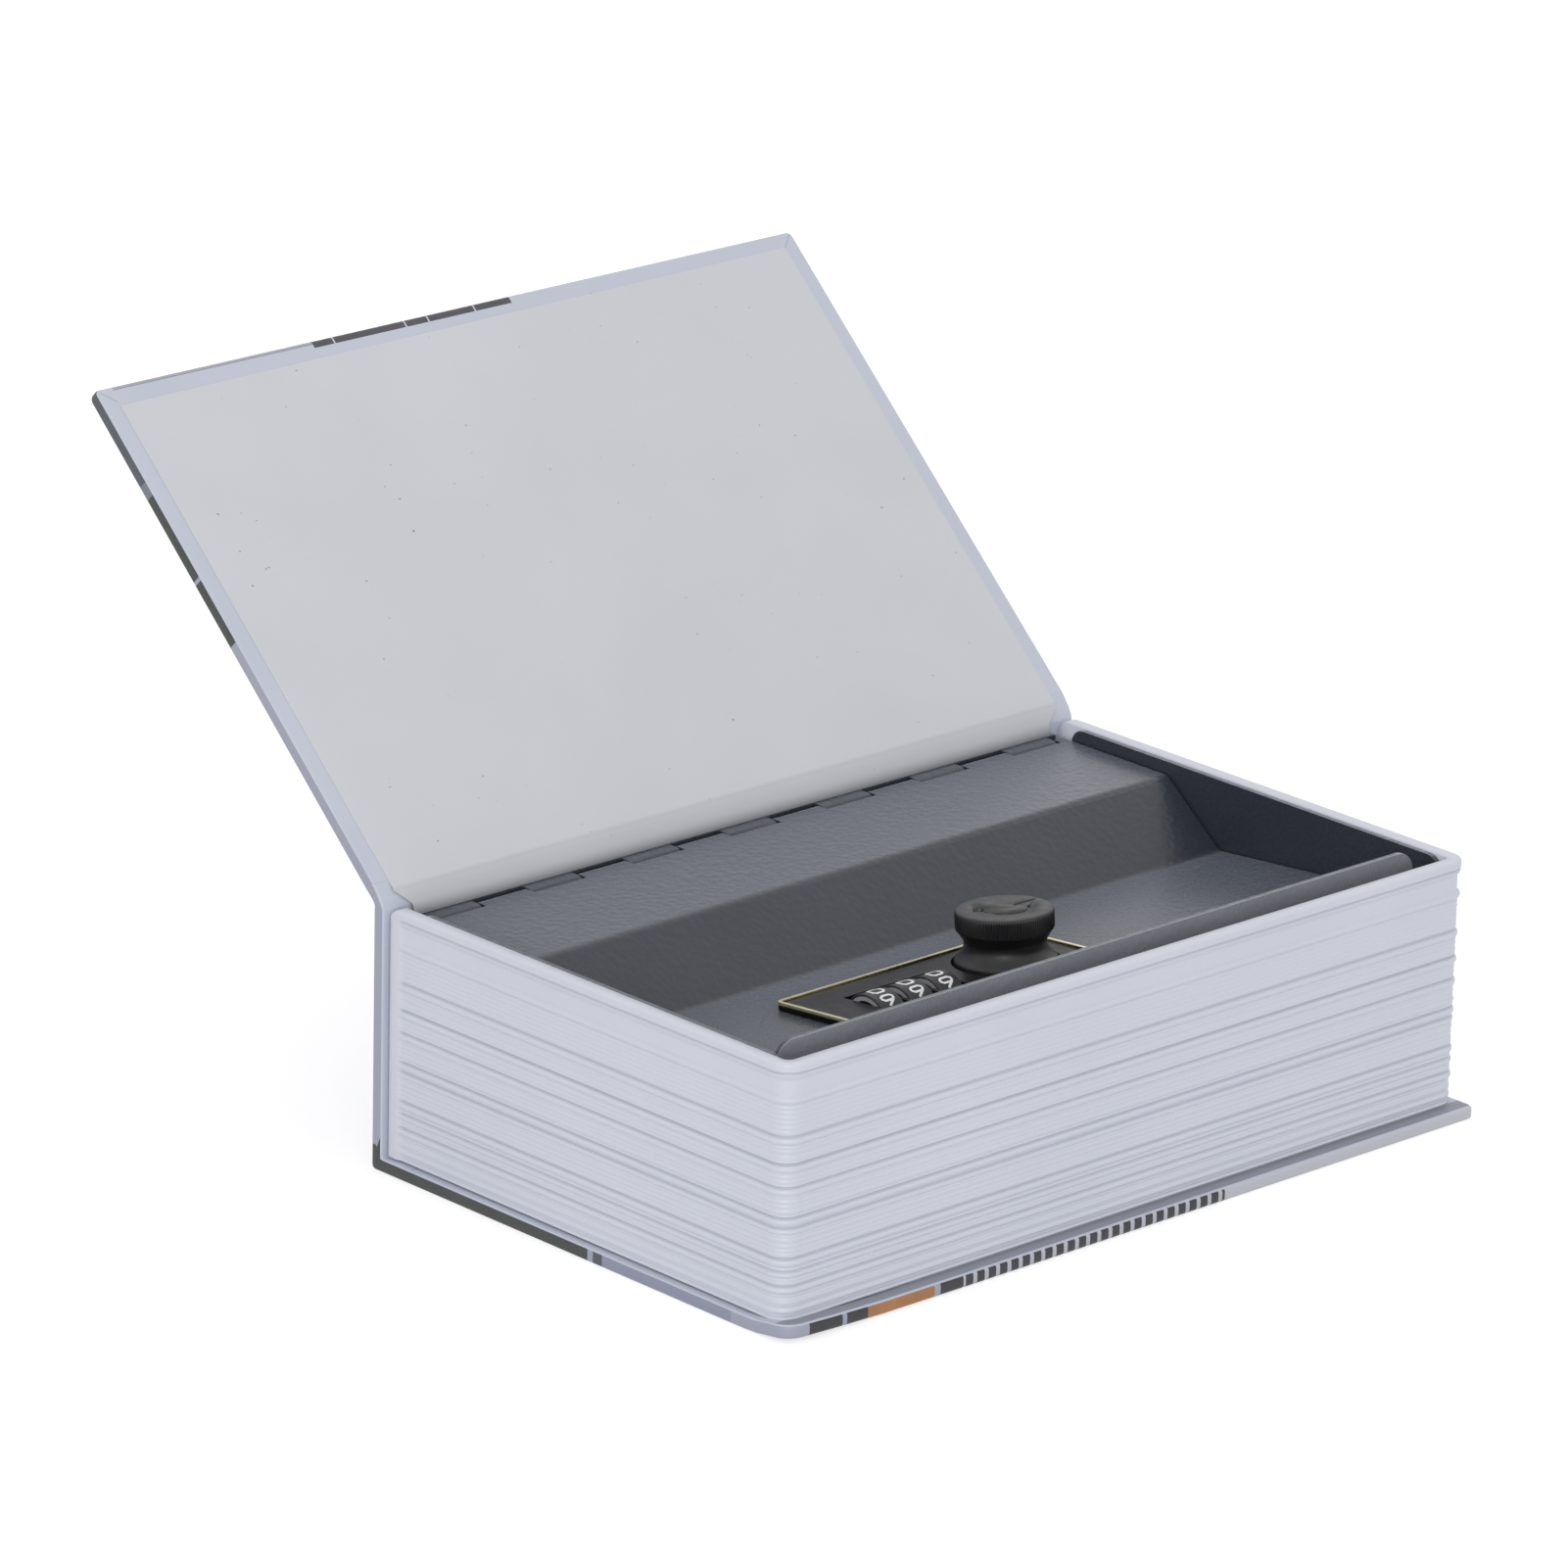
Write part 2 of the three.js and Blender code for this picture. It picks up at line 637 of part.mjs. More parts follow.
// Lid: one bent sheet with rolled knuckles, a front flange and a cut-out for the lock
function lidPanel() {
  const flangeBack = flangeFront + lidSheet;
  const under = [
    [flangeFront, floorHeightAt(flangeBack) - lidSheet],
    [lowerFoldY, lowerFoldZ - lidSheet],
    [upperFoldY, lidTop - lidSheet],
    [hingeY, lidTop - lidSheet],
  ];
  const top = [[hingeY, lidTop], [upperFoldY, lidTop], [lowerFoldY, lowerFoldZ],
    [flangeFront, floorHeightAt(flangeFront)]];
  const folds = [foldRadius + lidSheet, foldRadius];
  const sheet = alongX([...bent(under, folds), ...bent(top, folds)], -lidHalf, lidHalf);
  const flangeFoot = floorHeightAt(flangeBack) - lidSheet;
  const outline = new THREE.Shape();
  outline.moveTo(-flangeHalf, flangeFoot);
  outline.lineTo(flangeHalf, flangeFoot);
  outline.absarc(flangeHalf - flangeCorner, flangeTop - flangeCorner, flangeCorner, 0,
    Math.PI / 2);
  outline.absarc(-flangeHalf + flangeCorner, flangeTop - flangeCorner, flangeCorner,
    Math.PI / 2, Math.PI);
  const upright = new THREE.ExtrudeGeometry(outline,
    { depth: lidSheet, bevelEnabled: false, curveSegments: cornerSteps });
  upright.rotateX(Math.PI / 2);
  upright.translate(0, flangeBack, 0);
  const notches = notchPlaces.map((x) => block(x - notchWidth / 2, x + notchWidth / 2,
    notchFront, hingeY + past, lidTop - 2 * knuckleRadius, lidTop + past));
  const knuckles = notchPlaces.slice(1).map((x) => {
    const [x0, x1] = [x - notchPitch + notchWidth / 2, x - notchWidth / 2];
    return rodX(knuckleRadius, x0, x1, hingeY, hingeZ)
      .subtract(rodX(boreRadius, x0 - past, x1 + past, hingeY, hingeZ));
  });
  const bore = rodX(boreRadius, -lidHalf - past, lidHalf + past, hingeY, hingeZ);
  const cut = block(-cutLength / 2, cutLength / 2, -cutDepth / 2, cutDepth / 2,
    -5 * lidSheet, 5 * lidSheet).transform(lockPlace.elements);
  return piece('lid_panel', join(sheet, solid(upright)).subtract(join(...notches))
    .add(join(...knuckles)).subtract(bore).subtract(cut), looks.steel);
}

// Lock's face plate: dial slots, a round hole for the knob, and screw bosses under it
function lockBezel() {
  const slotWidth = dialPitch - dialSlotBar;
  const chord = Math.sqrt(dialRadius ** 2 - (bezelBottom - dialAxisW) ** 2) + 2 * runClear;
  const slots = Array.from({ length: dialCount }, (_, i) => block(dialAt(i) - slotWidth / 2,
    dialAt(i) + slotWidth / 2, -chord, chord, bezelBottom - past, bezelTop + past));
  const knobHole = rodZ(knobHoleRadius, bezelBottom - past, bezelTop + past, knobU, 0,
    knobSides);
  const bosses = lockScrewPlaces.map(([u, v]) =>
    rodZ(lockBossRadius, -lockBossDepth, bezelBottom + seat, u, v, roundSides));
  const pilots = lockScrewPlaces.map(([u, v]) =>
    rodZ(lockScrewRadius + seat, -lockBossDepth - past, bezelBottom + seat, u, v, roundSides));
  const plate = join(upward(bezelOutline(0), bezelBottom, bezelTop - trimHeight - seat),
    upward(bezelOutline(trimWidth + seat), bezelBottom, faceTop));
  return piece('lock_bezel', join(plate, ...bosses)
    .subtract(join(...slots, knobHole, ...pilots)), looks.bezel);
}

// Ring that lies round the face plate's upper edge
function bezelTrim() {
  const ring = bezelOutline(0);
  ring.holes.push(bezelOutline(trimWidth));
  return piece('bezel_trim', upward(ring, bezelTop - trimHeight, bezelTop), looks.trim);
}

function bezelOutline(inset) {
  return roundedRectangle(bezelLength - 2 * inset, bezelDepth - 2 * inset, bezelCorner - inset);
}

// Lock's case under the lid: dial room open at the top, knob pocket open at the bottom
function lockBody() {
  const half = [bodyLength / 2, bodyDepth / 2];
  const ledgeTop = -lidSheet - seat;
  const shell = join(
    block(-half[0], half[0], -half[1], half[1], bodyBottom, bodyTop),
    block(-half[0] - ledgeWidth, half[0] + ledgeWidth, -half[1] - ledgeWidth,
      half[1] + ledgeWidth, ledgeTop - ledgeThickness, ledgeTop));
  const roomV = dialRadius + 2 * runClear;
  const dials = block(dialRoomLow, dialRoomHigh, -roomV, roomV, dialRoomFloor, bodyTop + past);
  const boreHole = rodX(shaftBore, dialRoomLow - 2 * bodyWall, dialRoomHigh + 2 * bodyWall, 0,
    dialAxisW);
  const pocket = block(knobU - spindleRadius - bossWall - pocketRoom, half[0] - bodyWall,
    -half[1] + bodyWall, half[1] - bodyWall, bodyBottom - past, bodyTop - bodyWall);
  const boss = rodZ(spindleRadius + runClear + bossWall, bodyBottom, bodyTop - bodyWall, knobU);
  const bore = rodZ(spindleRadius + runClear, bodyBottom - past, bodyTop + past, knobU);
  const cups = lockScrewPlaces.map(([u, v]) => join(
    rodZ(lockBossRadius + seat, -lockBossDepth - seat, bodyTop + past, u, v, roundSides),
    rodZ(lockScrewRadius + seat, bodyBottom - past, bodyTop, u, v, roundSides)));
  const slot = block(leverU - leverStem / 2 - fit, leverU + leverStem / 2 + fit + leverTravel,
    leverV - leverStem / 2 - fit, leverV + leverStem / 2 + fit, bodyBottom - past,
    dialRoomFloor + past);
  return piece('lock_body', shell.subtract(dials).subtract(boreHole).subtract(pocket).add(boss)
    .subtract(join(bore, slot, ...cups)), looks.black);
}

function lockScrews() {
  const top = bodyBottom - seat;
  return lockScrewPlaces.map(([u, v], i) => piece(`lock_screw_${i + 1}`, join(
    rodZ(lockScrewHead, top - lockScrewHeadHeight, top, u, v, roundSides),
    rodZ(lockScrewRadius, top - seat, bezelBottom - seat, u, v, roundSides)), looks.bare));
}

// Fixed shaft that the three dials turn on
function dialShaft() {
  return piece('dial_shaft', rodX(shaftRadius, dialRoomLow - 1.5 * bodyWall,
    dialRoomHigh + 1.5 * bodyWall, 0, dialAxisW), looks.bare);
}

// Leaf under the dials, with one raised finger for each
function detentSpring() {
  const z = dialRoomFloor + seat;
  const room = dialRoomHigh - dialRoomLow - 2 * fit;
  const middle = (dialRoomLow + dialRoomHigh) / 2;
  const away = leverStem / 2 + fit;
  const strips = [-1, 1].map((side) => block(middle - room / 2, middle + room / 2,
    Math.min(side * away, side * (away + springStrip)),
    Math.max(side * away, side * (away + springStrip)), z, z + springSheet));
  const fingers = Array.from({ length: dialCount }, (_, i) => block(
    dialAt(i) - fingerLength / 2, dialAt(i) + fingerLength / 2, away, away + fingerWidth, z,
    z + springSheet + springRise));
  const bridge = block(middle + room / 2 - springBridge, middle + room / 2, -away - seat,
    away + seat, z, z + springSheet);
  return piece('detent_spring', join(...strips, ...fingers, bridge), looks.bare);
}

function dialWheel(i) {
  const half = dialWidth / 2;
  const inner = sleeveRadius + seat;
  const side = dialRadius - dialChamfer;
  const wheel = turned([[inner, -half], [side, -half], [dialRadius, -half + dialChamfer],
    [dialRadius, half - dialChamfer], [side, half], [inner, half], [inner, -half]], dialSides);
  return piece(`dial_wheel_${i + 1}`, lying(wheel, i), looks.black);
}

// Sleeve that carries a dial's code notch; the dial grips it
function codeSleeve(i) {
  const half = dialWidth / 2;
  const bore = shaftRadius + runClear;
  const tube = turned([[bore, -half], [sleeveRadius, -half], [sleeveRadius, half], [bore, half],
    [bore, -half]], roundSides * 2);
  const notch = block(-codeNotchWidth / 2, codeNotchWidth / 2, bore - codeNotchDepth / 2,
    bore + codeNotchDepth, -half - past, half + past);
  return piece(`code_sleeve_${i + 1}`, lying(tube.subtract(notch), i), looks.brass);
}

function lying(shape, i) {
  const place = new THREE.Matrix4().makeRotationY(Math.PI / 2)
    .setPosition(dialAt(i), 0, dialAxisW);
  return shape.transform(place.elements);
}

// Turn knob: flared foot, waist, knurled drum and a blind bore for its spindle
function turnKnob() {
  const b = knobBottom;
  const top = b + knobHeight;
  const body = turned([[0, b], [knobBaseRadius - knobBevel, b],
    [knobBaseRadius, b + knobBevel], [knobBaseRadius, b + knobFootTop],
    [knobNeckRadius + knobFlareOut, b + knobFlareHeight], [knobNeckRadius, b + knobNeckFoot],
    [knobNeckRadius, b + knobNeckTop], [knobRadius, b + knobDrumFoot],
    [knobRadius, top - knobBevel], [knobRadius - knobBevel, top], [0, top]], knobSides);
  const bore = rodZ(spindleRadius + seat, b - past, b + knobBoreDepth);
  return piece('turn_knob', body.subtract(bore).translate([knobU, 0, 0]), looks.black);
}

function spindle() {
  const top = knobBottom + knobBoreDepth - seat;
  const bar = join(rodZ(spindleRadius, camTop + seat, top),
    rodZ(spindleEnd, camBottom + seat, camTop + 2 * seat));
  const pilot = rodZ(camScrewRadius + seat, camBottom - past, camTop + camScrewInto + past, 0,
    0, roundSides);
  return piece('spindle', bar.subtract(pilot).translate([knobU, 0, 0]), looks.bare);
}

// Cam arm; it points along the spine when unlocked and under the keeper when locked
function camArm() {
  const arm = new THREE.Shape();
  const half = camWidth / 2;
  arm.moveTo(-camTail, -half);
  arm.lineTo(camReach - half, -half);
  arm.absarc(camReach - half, 0, half, -Math.PI / 2, Math.PI / 2);
  arm.lineTo(-camTail, half);
  const plate = upward(arm, camBottom, camTop, roundSides / 2)
    .subtract(rodZ(spindleEnd + seat, camBottom - past, camTop + past));
  return piece('cam_arm', plate.translate([knobU, 0, 0]), looks.bare);
}

function camScrew() {
  const under = camBottom - seat;
  const screw = join(rodZ(camScrewHead, under - camScrewHeadHeight, under),
    rodZ(camScrewRadius, under - seat, camTop + camScrewInto, 0, 0, roundSides));
  return piece('cam_screw', screw.translate([knobU, 0, 0]), looks.bare);
}

function codeLever() {
  const top = bodyBottom - seat;
  return piece('code_change_lever', join(
    block(leverU - leverLength / 2, leverU + leverLength / 2, leverV - leverWidth / 2,
      leverV + leverWidth / 2, top - leverSheet, top),
    block(leverU - leverStem / 2, leverU + leverStem / 2, leverV - leverStem / 2,
      leverV + leverStem / 2, top - seat, dialRoomFloor)), looks.brass);
}

// Lock, in a group that lies on the lid's low floor
function lock() {
  const group = new THREE.Group();
  group.position.set(lockX, lockY, lockZ);
  group.rotation.x = -floorTilt;
  group.add(lockBezel(), bezelTrim(), lockBody(), ...lockScrews(), dialShaft(), detentSpring());
  for (let i = 0; i < dialCount; i++) group.add(dialWheel(i), codeSleeve(i));
  group.add(turnKnob(), spindle(), camArm(), camScrew(), codeLever());
  return group;
}

const safe = new THREE.Group();
safe.add(...backCover(), ...spine(), lowerCrease(), upperCrease(), hingeLiner());
safe.add(pageBlock(), steelTray(), hingePin(), ...trayScrews());
const camTip = new THREE.Vector3(0, -camReach, camTop).applyMatrix4(lockPlace);
safe.add(camKeeper(camTip.z), lidPanel(), lock(), frontCover());

export default safe;
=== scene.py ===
import json
import math

import bmesh
import bpy
import numpy as np
from mathutils import Matrix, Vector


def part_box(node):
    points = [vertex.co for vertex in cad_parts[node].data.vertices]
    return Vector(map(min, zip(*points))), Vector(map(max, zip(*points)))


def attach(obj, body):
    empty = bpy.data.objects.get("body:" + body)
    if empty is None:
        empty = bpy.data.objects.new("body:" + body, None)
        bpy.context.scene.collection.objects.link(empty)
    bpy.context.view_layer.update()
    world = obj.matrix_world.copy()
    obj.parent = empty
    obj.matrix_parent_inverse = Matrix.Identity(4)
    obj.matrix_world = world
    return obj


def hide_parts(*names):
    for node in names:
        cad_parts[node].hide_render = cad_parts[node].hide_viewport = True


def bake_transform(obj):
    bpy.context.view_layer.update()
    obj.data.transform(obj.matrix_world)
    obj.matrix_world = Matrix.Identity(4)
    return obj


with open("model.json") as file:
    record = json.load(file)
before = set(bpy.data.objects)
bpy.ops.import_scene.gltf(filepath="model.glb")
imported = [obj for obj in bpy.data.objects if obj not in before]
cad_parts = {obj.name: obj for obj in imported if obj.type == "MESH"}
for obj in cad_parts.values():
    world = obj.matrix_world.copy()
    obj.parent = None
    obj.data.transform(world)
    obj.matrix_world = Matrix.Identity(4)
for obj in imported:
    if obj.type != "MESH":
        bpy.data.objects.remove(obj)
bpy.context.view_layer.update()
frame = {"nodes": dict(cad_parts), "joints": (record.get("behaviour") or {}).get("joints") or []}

MM = 0.001


def box_mm(node):
    """A node's lowest and highest corners in millimetres"""
    low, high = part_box(node)
    return np.array(low) / MM, np.array(high) / MM


# Sizes of the case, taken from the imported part
wrap_low, wrap_high = box_mm("back_wrap")
spine_low, spine_high = box_mm("spine_wrap")
block_low, block_high = box_mm("page_block")
HALF = wrap_high[0]
FORE_EDGE = wrap_low[1]
SPINE_OUT = spine_high[1]
SPINE_IN = spine_low[1]
SPINE_TOP = spine_high[2]
BOARD = wrap_high[2]
BOARD_BACK = wrap_high[1]
BLOCK_BOTTOM = block_low[2]
RIM = block_high[2]
CLOSED_GAP = 0.8
SHUT_UNDER = RIM + CLOSED_GAP
SHUT_TOP = SHUT_UNDER + BOARD
MARGIN = 3.6  # from an endpaper's edge to the cover's
PAPER = 0.15
SUNK = 0.02  # the front endpaper's rear face lies this far inside the cover

hinge = next(j for j in frame["joints"] if j["name"] == "cover_hinge")
PIVOT = np.array(hinge["pos_m"]) / MM
OPEN_ANGLE = math.radians(-hinge["range_deg"][0])

# The lock's own frame: its origin is on the lid's low floor, tilted with it
LOCK_TILT = math.radians(5.3)
knob_joint = next(j for j in frame["joints"] if j["name"] == "knob_turn")
dial_joints = [j for j in frame["joints"] if j["name"].startswith("dial_")]
LOCK_AT = np.array(knob_joint["pos_m"]) / MM


# Camera
def unit(v):
    """v at length 1"""
    return np.array(v) / np.linalg.norm(v)


AZIMUTH, ELEVATION, ROLL = 43.304, 18.994, 1.364
CAMERA_AT = (-1.169327, -1.198366, 0.647763)
LENS, FILM_WIDTH = 216.504, 36


def place_camera():
    """The photograph's viewpoint, from the perspective fit of the case and the tray's rim"""
    azimuth, elevation, roll = map(math.radians, (AZIMUTH, ELEVATION, ROLL))
    ahead = np.array([math.sin(azimuth) * math.cos(elevation),
                      math.cos(azimuth) * math.cos(elevation), -math.sin(elevation)])
    level = np.array([math.cos(azimuth), -math.sin(azimuth), 0])
    above = np.cross(level, ahead)
    right = math.cos(roll) * level + math.sin(roll) * above
    up = math.cos(roll) * above - math.sin(roll) * level
    data = bpy.data.cameras.new("photo_camera")
    data.lens = LENS
    data.sensor_width = FILM_WIDTH
    data.clip_start = 0.05
    data.clip_end = 50
    camera = bpy.data.objects.new("photo_camera", data)
    turn = Matrix([list(row) for row in np.stack([right, up, -ahead], 1)]).to_4x4()
    camera.matrix_world = Matrix.Translation(CAMERA_AT) @ turn
    bpy.context.scene.collection.objects.link(camera)
    bpy.context.scene.camera = camera


place_camera()


# Materials
def linear(code):
    """sRGB hex to linear RGBA"""
    parts = [int(code[i:i + 2], 16) / 255 for i in (1, 3, 5)]
    return [c / 12.92 if c <= 0.04045 else ((c + 0.055) / 1.055) ** 2.4 for c in parts] + [1]


def add(tree, kind, values):
    """Adds a node. Each value is a setting of the node, a number for one of its inputs, or a
    socket that feeds that input"""
    node = tree.nodes.new("ShaderNode" + kind)
    for key, value in values.items():
        if isinstance(key, str) and key in node.bl_rna.properties:
            setattr(node, key, value)
        elif isinstance(value, bpy.types.NodeSocket):
            tree.links.new(value, node.inputs[key])
        else:
            node.inputs[key].default_value = value
    return node


def new_surface(name, shader_values):
    """A material with one Principled shader, with its tree and its shader"""
    material = bpy.data.materials.new(name)
    material.use_nodes = True
    tree = material.node_tree
    tree.nodes.clear()
    shader = add(tree, "BsdfPrincipled", shader_values)
    add(tree, "OutputMaterial", {"Surface": shader.outputs[0]})
    return material, tree, shader


def grain(tree, size_mm, detail=2.0, rough=0.5, place=None):
    """Soft noise whose blotches are about size_mm across, from 0 to 1. It is fixed to the part
    at rest, where nothing else is said"""
    place = place or add(tree, "TexCoord", {}).outputs["Object"]
    return add(tree, "TexNoise", {"Vector": place, "Scale": 1000 / size_mm,
                                  "Detail": detail, "Roughness": rough}).outputs["Fac"]


def uneven_gloss(tree, shader, pattern, low, high):
    """Roughness that wanders from low to high as the pattern goes from 0.3 to 0.7"""
    rough = add(tree, "MapRange", {"Value": pattern, "From Min": 0.3, "From Max": 0.7,
                                   "To Min": low, "To Max": high})
    tree.links.new(rough.outputs[0], shader.inputs["Roughness"])


def tint(tree, amount, first, second):
    """Colour that goes from first to second; each is a hex code or a socket"""
    values = {"data_type": "RGBA", 0: amount}
    for slot, colour in ((6, first), (7, second)):
        values[slot] = linear(colour) if isinstance(colour, str) else colour
    return add(tree, "Mix", values).outputs[2]


def relief(tree, shader, height, depth_mm, strength=1.0, below=None):
    """Small surface relief; height runs 0 to 1 over depth_mm"""
    values = {"Height": height, "Distance": depth_mm * MM, "Strength": strength}
    if below is not None:
        values["Normal"] = below
    bump = add(tree, "Bump", values).outputs[0]
    tree.links.new(bump, shader.inputs["Normal"])
    return bump


def panel(tree, u, v, u_low, u_high, v_low, v_high):
    """1 inside a rectangle of the flat wrap, else 0"""
    inside = None
    for value, low, high in ((u, u_low, u_high), (v, v_low, v_high)):
        near = add(tree, "Math", {"operation": "COMPARE", 0: value, 1: (low + high) / 2,
                                  2: (high - low) / 2}).outputs[0]
        if inside is not None:
            near = add(tree, "Math", {"operation": "MULTIPLY", 0: inside, 1: near}).outputs[0]
        inside = near
    return inside


# Layout of the print on the flat wrap, in millimetres: u along the spine, v across it from the
# spine's middle, negative on the back cover. A cover's fore edge is at 143, its wrap goes on
FORE_V = 143
HEAD_BLOCK = (-96, -52)
FORE_BLOCK_BACK, FORE_BLOCK_FRONT = (-146, -128), (128, 146)
LONG_BLOCK = (-51.8, 22)
TICK_PITCH, TICK_WIDTH, TICK_START = 2.9, 1.0, -46
TICK_ROWS = ((-146, -137), (137, 146))
RULES = ((-84, -83), (83, 84), (86.5, 88))
RULE_REACH = (-126, 126)
TITLE_ENDS = (-34, 46)
TITLE_PANELS = ((-12, 12), (46, 74))
TITLE_FRAME = 1.5


def flat_place(tree):
    """u and v on the flat wrap"""
    flat = add(tree, "UVMap", {"uv_map": "wrap_place"}).outputs[0]
    parts = add(tree, "SeparateXYZ", {0: flat})
    return parts.outputs[0], parts.outputs[1]


def litho_wrap():
    """Litho-printed and film-laminated paper. The film gives a soft satin shine with faint
    ripples over the board; the print is a plain design of panels, rules and a row of ticks"""
    material, tree, shader = new_surface("litho_printed_wrap", {
        "Roughness": 0.42, "IOR": 1.5, "Coat Weight": 0.15, "Coat Roughness": 0.3})
    u, v = flat_place(tree)
    colour = tint(tree, grain(tree, 40, 3), "#9A9DAE", "#A6A9B8")
    # head-end blocks in bottle green and slate, mottled, on both covers
    green = tint(tree, grain(tree, 9, 5, 0.65), "#202521", "#3E443E")
    slate = tint(tree, grain(tree, 7, 4, 0.6), "#3A4246", "#545C66")
    for low, high, ink in ((-89, -24, green), (-93, -90.5, slate), (-128, -93, "#8F92A8"),
                           (85.3, 99.4, green), (100.2, 119, green), (119, 122, "#747C88"),
                           (122, 146, slate)):
        colour = tint(tree, panel(tree, u, v, *HEAD_BLOCK, low, high), colour, ink)
    # dark and ochre blocks at the fore edge
    ochre = tint(tree, grain(tree, 6, 4, 0.6), "#8E5F37", "#B98450")
    dark = tint(tree, grain(tree, 3, 4, 0.6), "#1E1D22", "#34343B")
    for start, end, ink in ((-84.5, -76.3, dark), (-75.2, -70, dark), (-70, -53.3, ochre),
                            (*LONG_BLOCK, dark)):
        for low, high in (FORE_BLOCK_BACK, FORE_BLOCK_FRONT):
            colour = tint(tree, panel(tree, u, v, start, end, low, high), colour, ink)
    pale = panel(tree, u, v, LONG_BLOCK[1], -HEAD_BLOCK[0], *FORE_BLOCK_BACK)
    colour = tint(tree, pale, colour, "#BFC1C9")
    # rules across the covers and round the spine
    for start, end in RULES:
        colour = tint(tree, panel(tree, u, v, start, end, *RULE_REACH), colour, "#4A5058")
    # row of pale ticks in the long dark block
    step = add(tree, "Math", {"operation": "FLOORED_MODULO", 0: u, 1: TICK_PITCH}).outputs[0]
    tick = add(tree, "Math", {"operation": "LESS_THAN", 0: step, 1: TICK_WIDTH}).outputs[0]
    for low, high in TICK_ROWS:
        row = panel(tree, u, v, TICK_START, LONG_BLOCK[1], low, high)
        row = add(tree, "Math", {"operation": "MULTIPLY", 0: tick, 1: row}).outputs[0]
        colour = tint(tree, row, colour, "#B9BAC4")
    # title panel left blank on the spine and the front cover
    start, end = TITLE_ENDS
    for low, high in TITLE_PANELS:
        colour = tint(tree, panel(tree, u, v, start, end, low, high), colour, "#D8D7DD")
        middle = panel(tree, u, v, start + TITLE_FRAME, end - TITLE_FRAME, low + TITLE_FRAME,
                       high - TITLE_FRAME)
        colour = tint(tree, middle, colour, "#C3C3D2")
    tree.links.new(colour, shader.inputs["Base Color"])
    relief(tree, shader, grain(tree, 0.5, 3), 0.012, 0.5)
    return material


# Marks on the turned-in paper: the printed band's ends and ticks, and the overlap line
BAND = (-36.5, 14.2)
BAND_TICKS = (-31.5, -13.2, -7.4, 4.6)
BAND_TICK_WIDTH = 0.35
BAND_EDGE = 144.75
OVERLAP_ENDS = (-86, -36.5)
OVERLAP_LINE = (143.75, 143.95)
FOLD_WIDTH = 0.14


def turned_in_paper():
    """The same wrap where it is turned in over the board: pale ground, slightly duller, with the
    end of one printed band, a thin overlap line and mitre folds at the corners, and painted
    shade on the back cover's margin beside the page block"""
    material, tree, shader = new_surface("turned_in_wrap", {"Roughness": 0.5, "IOR": 1.5})
    u, v = flat_place(tree)
    colour = tint(tree, grain(tree, 25, 3), "#BCC1D0", "#C8CDD9")
    # painted shade on the back cover's margin, next to the page block's foot
    painted_shade_margin = panel(tree, u, v, -HALF - 1, HALF + 1, -147, -FORE_V - 0.2)
    colour = tint(tree, painted_shade_margin, colour, "#92959F")
    overlap = panel(tree, u, v, *OVERLAP_ENDS, FORE_V - 1, OVERLAP_LINE[0])
    colour = tint(tree, overlap, colour, "#A6A8B4")
    colour = tint(tree, panel(tree, u, v, *OVERLAP_ENDS, *OVERLAP_LINE), colour, "#868791")
    band = panel(tree, u, v, *BAND, FORE_V - 1, BAND_EDGE)
    colour = tint(tree, band, colour, tint(tree, grain(tree, 2.5, 4), "#3E3D44", "#55545C"))
    for at in BAND_TICKS:
        mark = panel(tree, u, v, at, at + BAND_TICK_WIDTH, FORE_V - 1, BAND_EDGE)
        colour = tint(tree, mark, colour, "#C9CAD6")
    along = add(tree, "Math", {"operation": "ABSOLUTE", 0: u}).outputs[0]
    from_end = add(tree, "Math", {"operation": "SUBTRACT", 0: HALF, 1: along}).outputs[0]
    across = add(tree, "Math", {"operation": "ABSOLUTE", 0: v}).outputs[0]
    from_edge = add(tree, "Math", {"operation": "SUBTRACT", 0: across, 1: FORE_V}).outputs[0]
    fold = add(tree, "Math", {"operation": "COMPARE", 0: from_end, 1: from_edge,
                              2: FOLD_WIDTH}).outputs[0]
    near = add(tree, "Math", {"operation": "LESS_THAN", 0: from_end, 1: MARGIN}).outputs[0]
    mitre = add(tree, "Math", {"operation": "MULTIPLY", 0: fold, 1: near}).outputs[0]
    faint = add(tree, "Math", {"operation": "MULTIPLY", 0: mitre, 1: 0.5}).outputs[0]
    colour = tint(tree, faint, colour, "#7E8090")
    tree.links.new(colour, shader.inputs["Base Color"])
    relief(tree, shader, grain(tree, 0.6, 3), 0.015, 0.5)
    return material


def offset_endpaper():
    """Uncoated offset paper pasted down by hand: matt, with specks, a faint cloudy glue shade
    and small cockles, and painted shade where it creases and runs down beside the lid's hinge"""
    material, tree, shader = new_surface("offset_endpaper", {"Roughness": 0.75, "IOR": 1.5})
    cloud = tint(tree, grain(tree, 30, 4), "#C9CBD2", "#D3D4D9")
    speck = add(tree, "MapRange", {"Value": grain(tree, 1.1, 1), "From Min": 0.79,
                                   "From Max": 0.81, "To Min": 0, "To Max": 0.7}).outputs[0]
    painted_shade = add(tree, "Attribute", {"attribute_name": "painted_shade"}).outputs["Fac"]
    # painted shade: the colour goes towards #3A3A3F where the endpaper creases and runs down to
    # the lid
    colour = tint(tree, painted_shade, tint(tree, speck, cloud, "#6E6C70"), "#3A3A3F")
    tree.links.new(colour, shader.inputs["Base Color"])
    cockle = relief(tree, shader, grain(tree, 14, 2), 0.12, 0.6)
    relief(tree, shader, grain(tree, 0.35, 3), 0.02, 0.5, cockle)
    return material


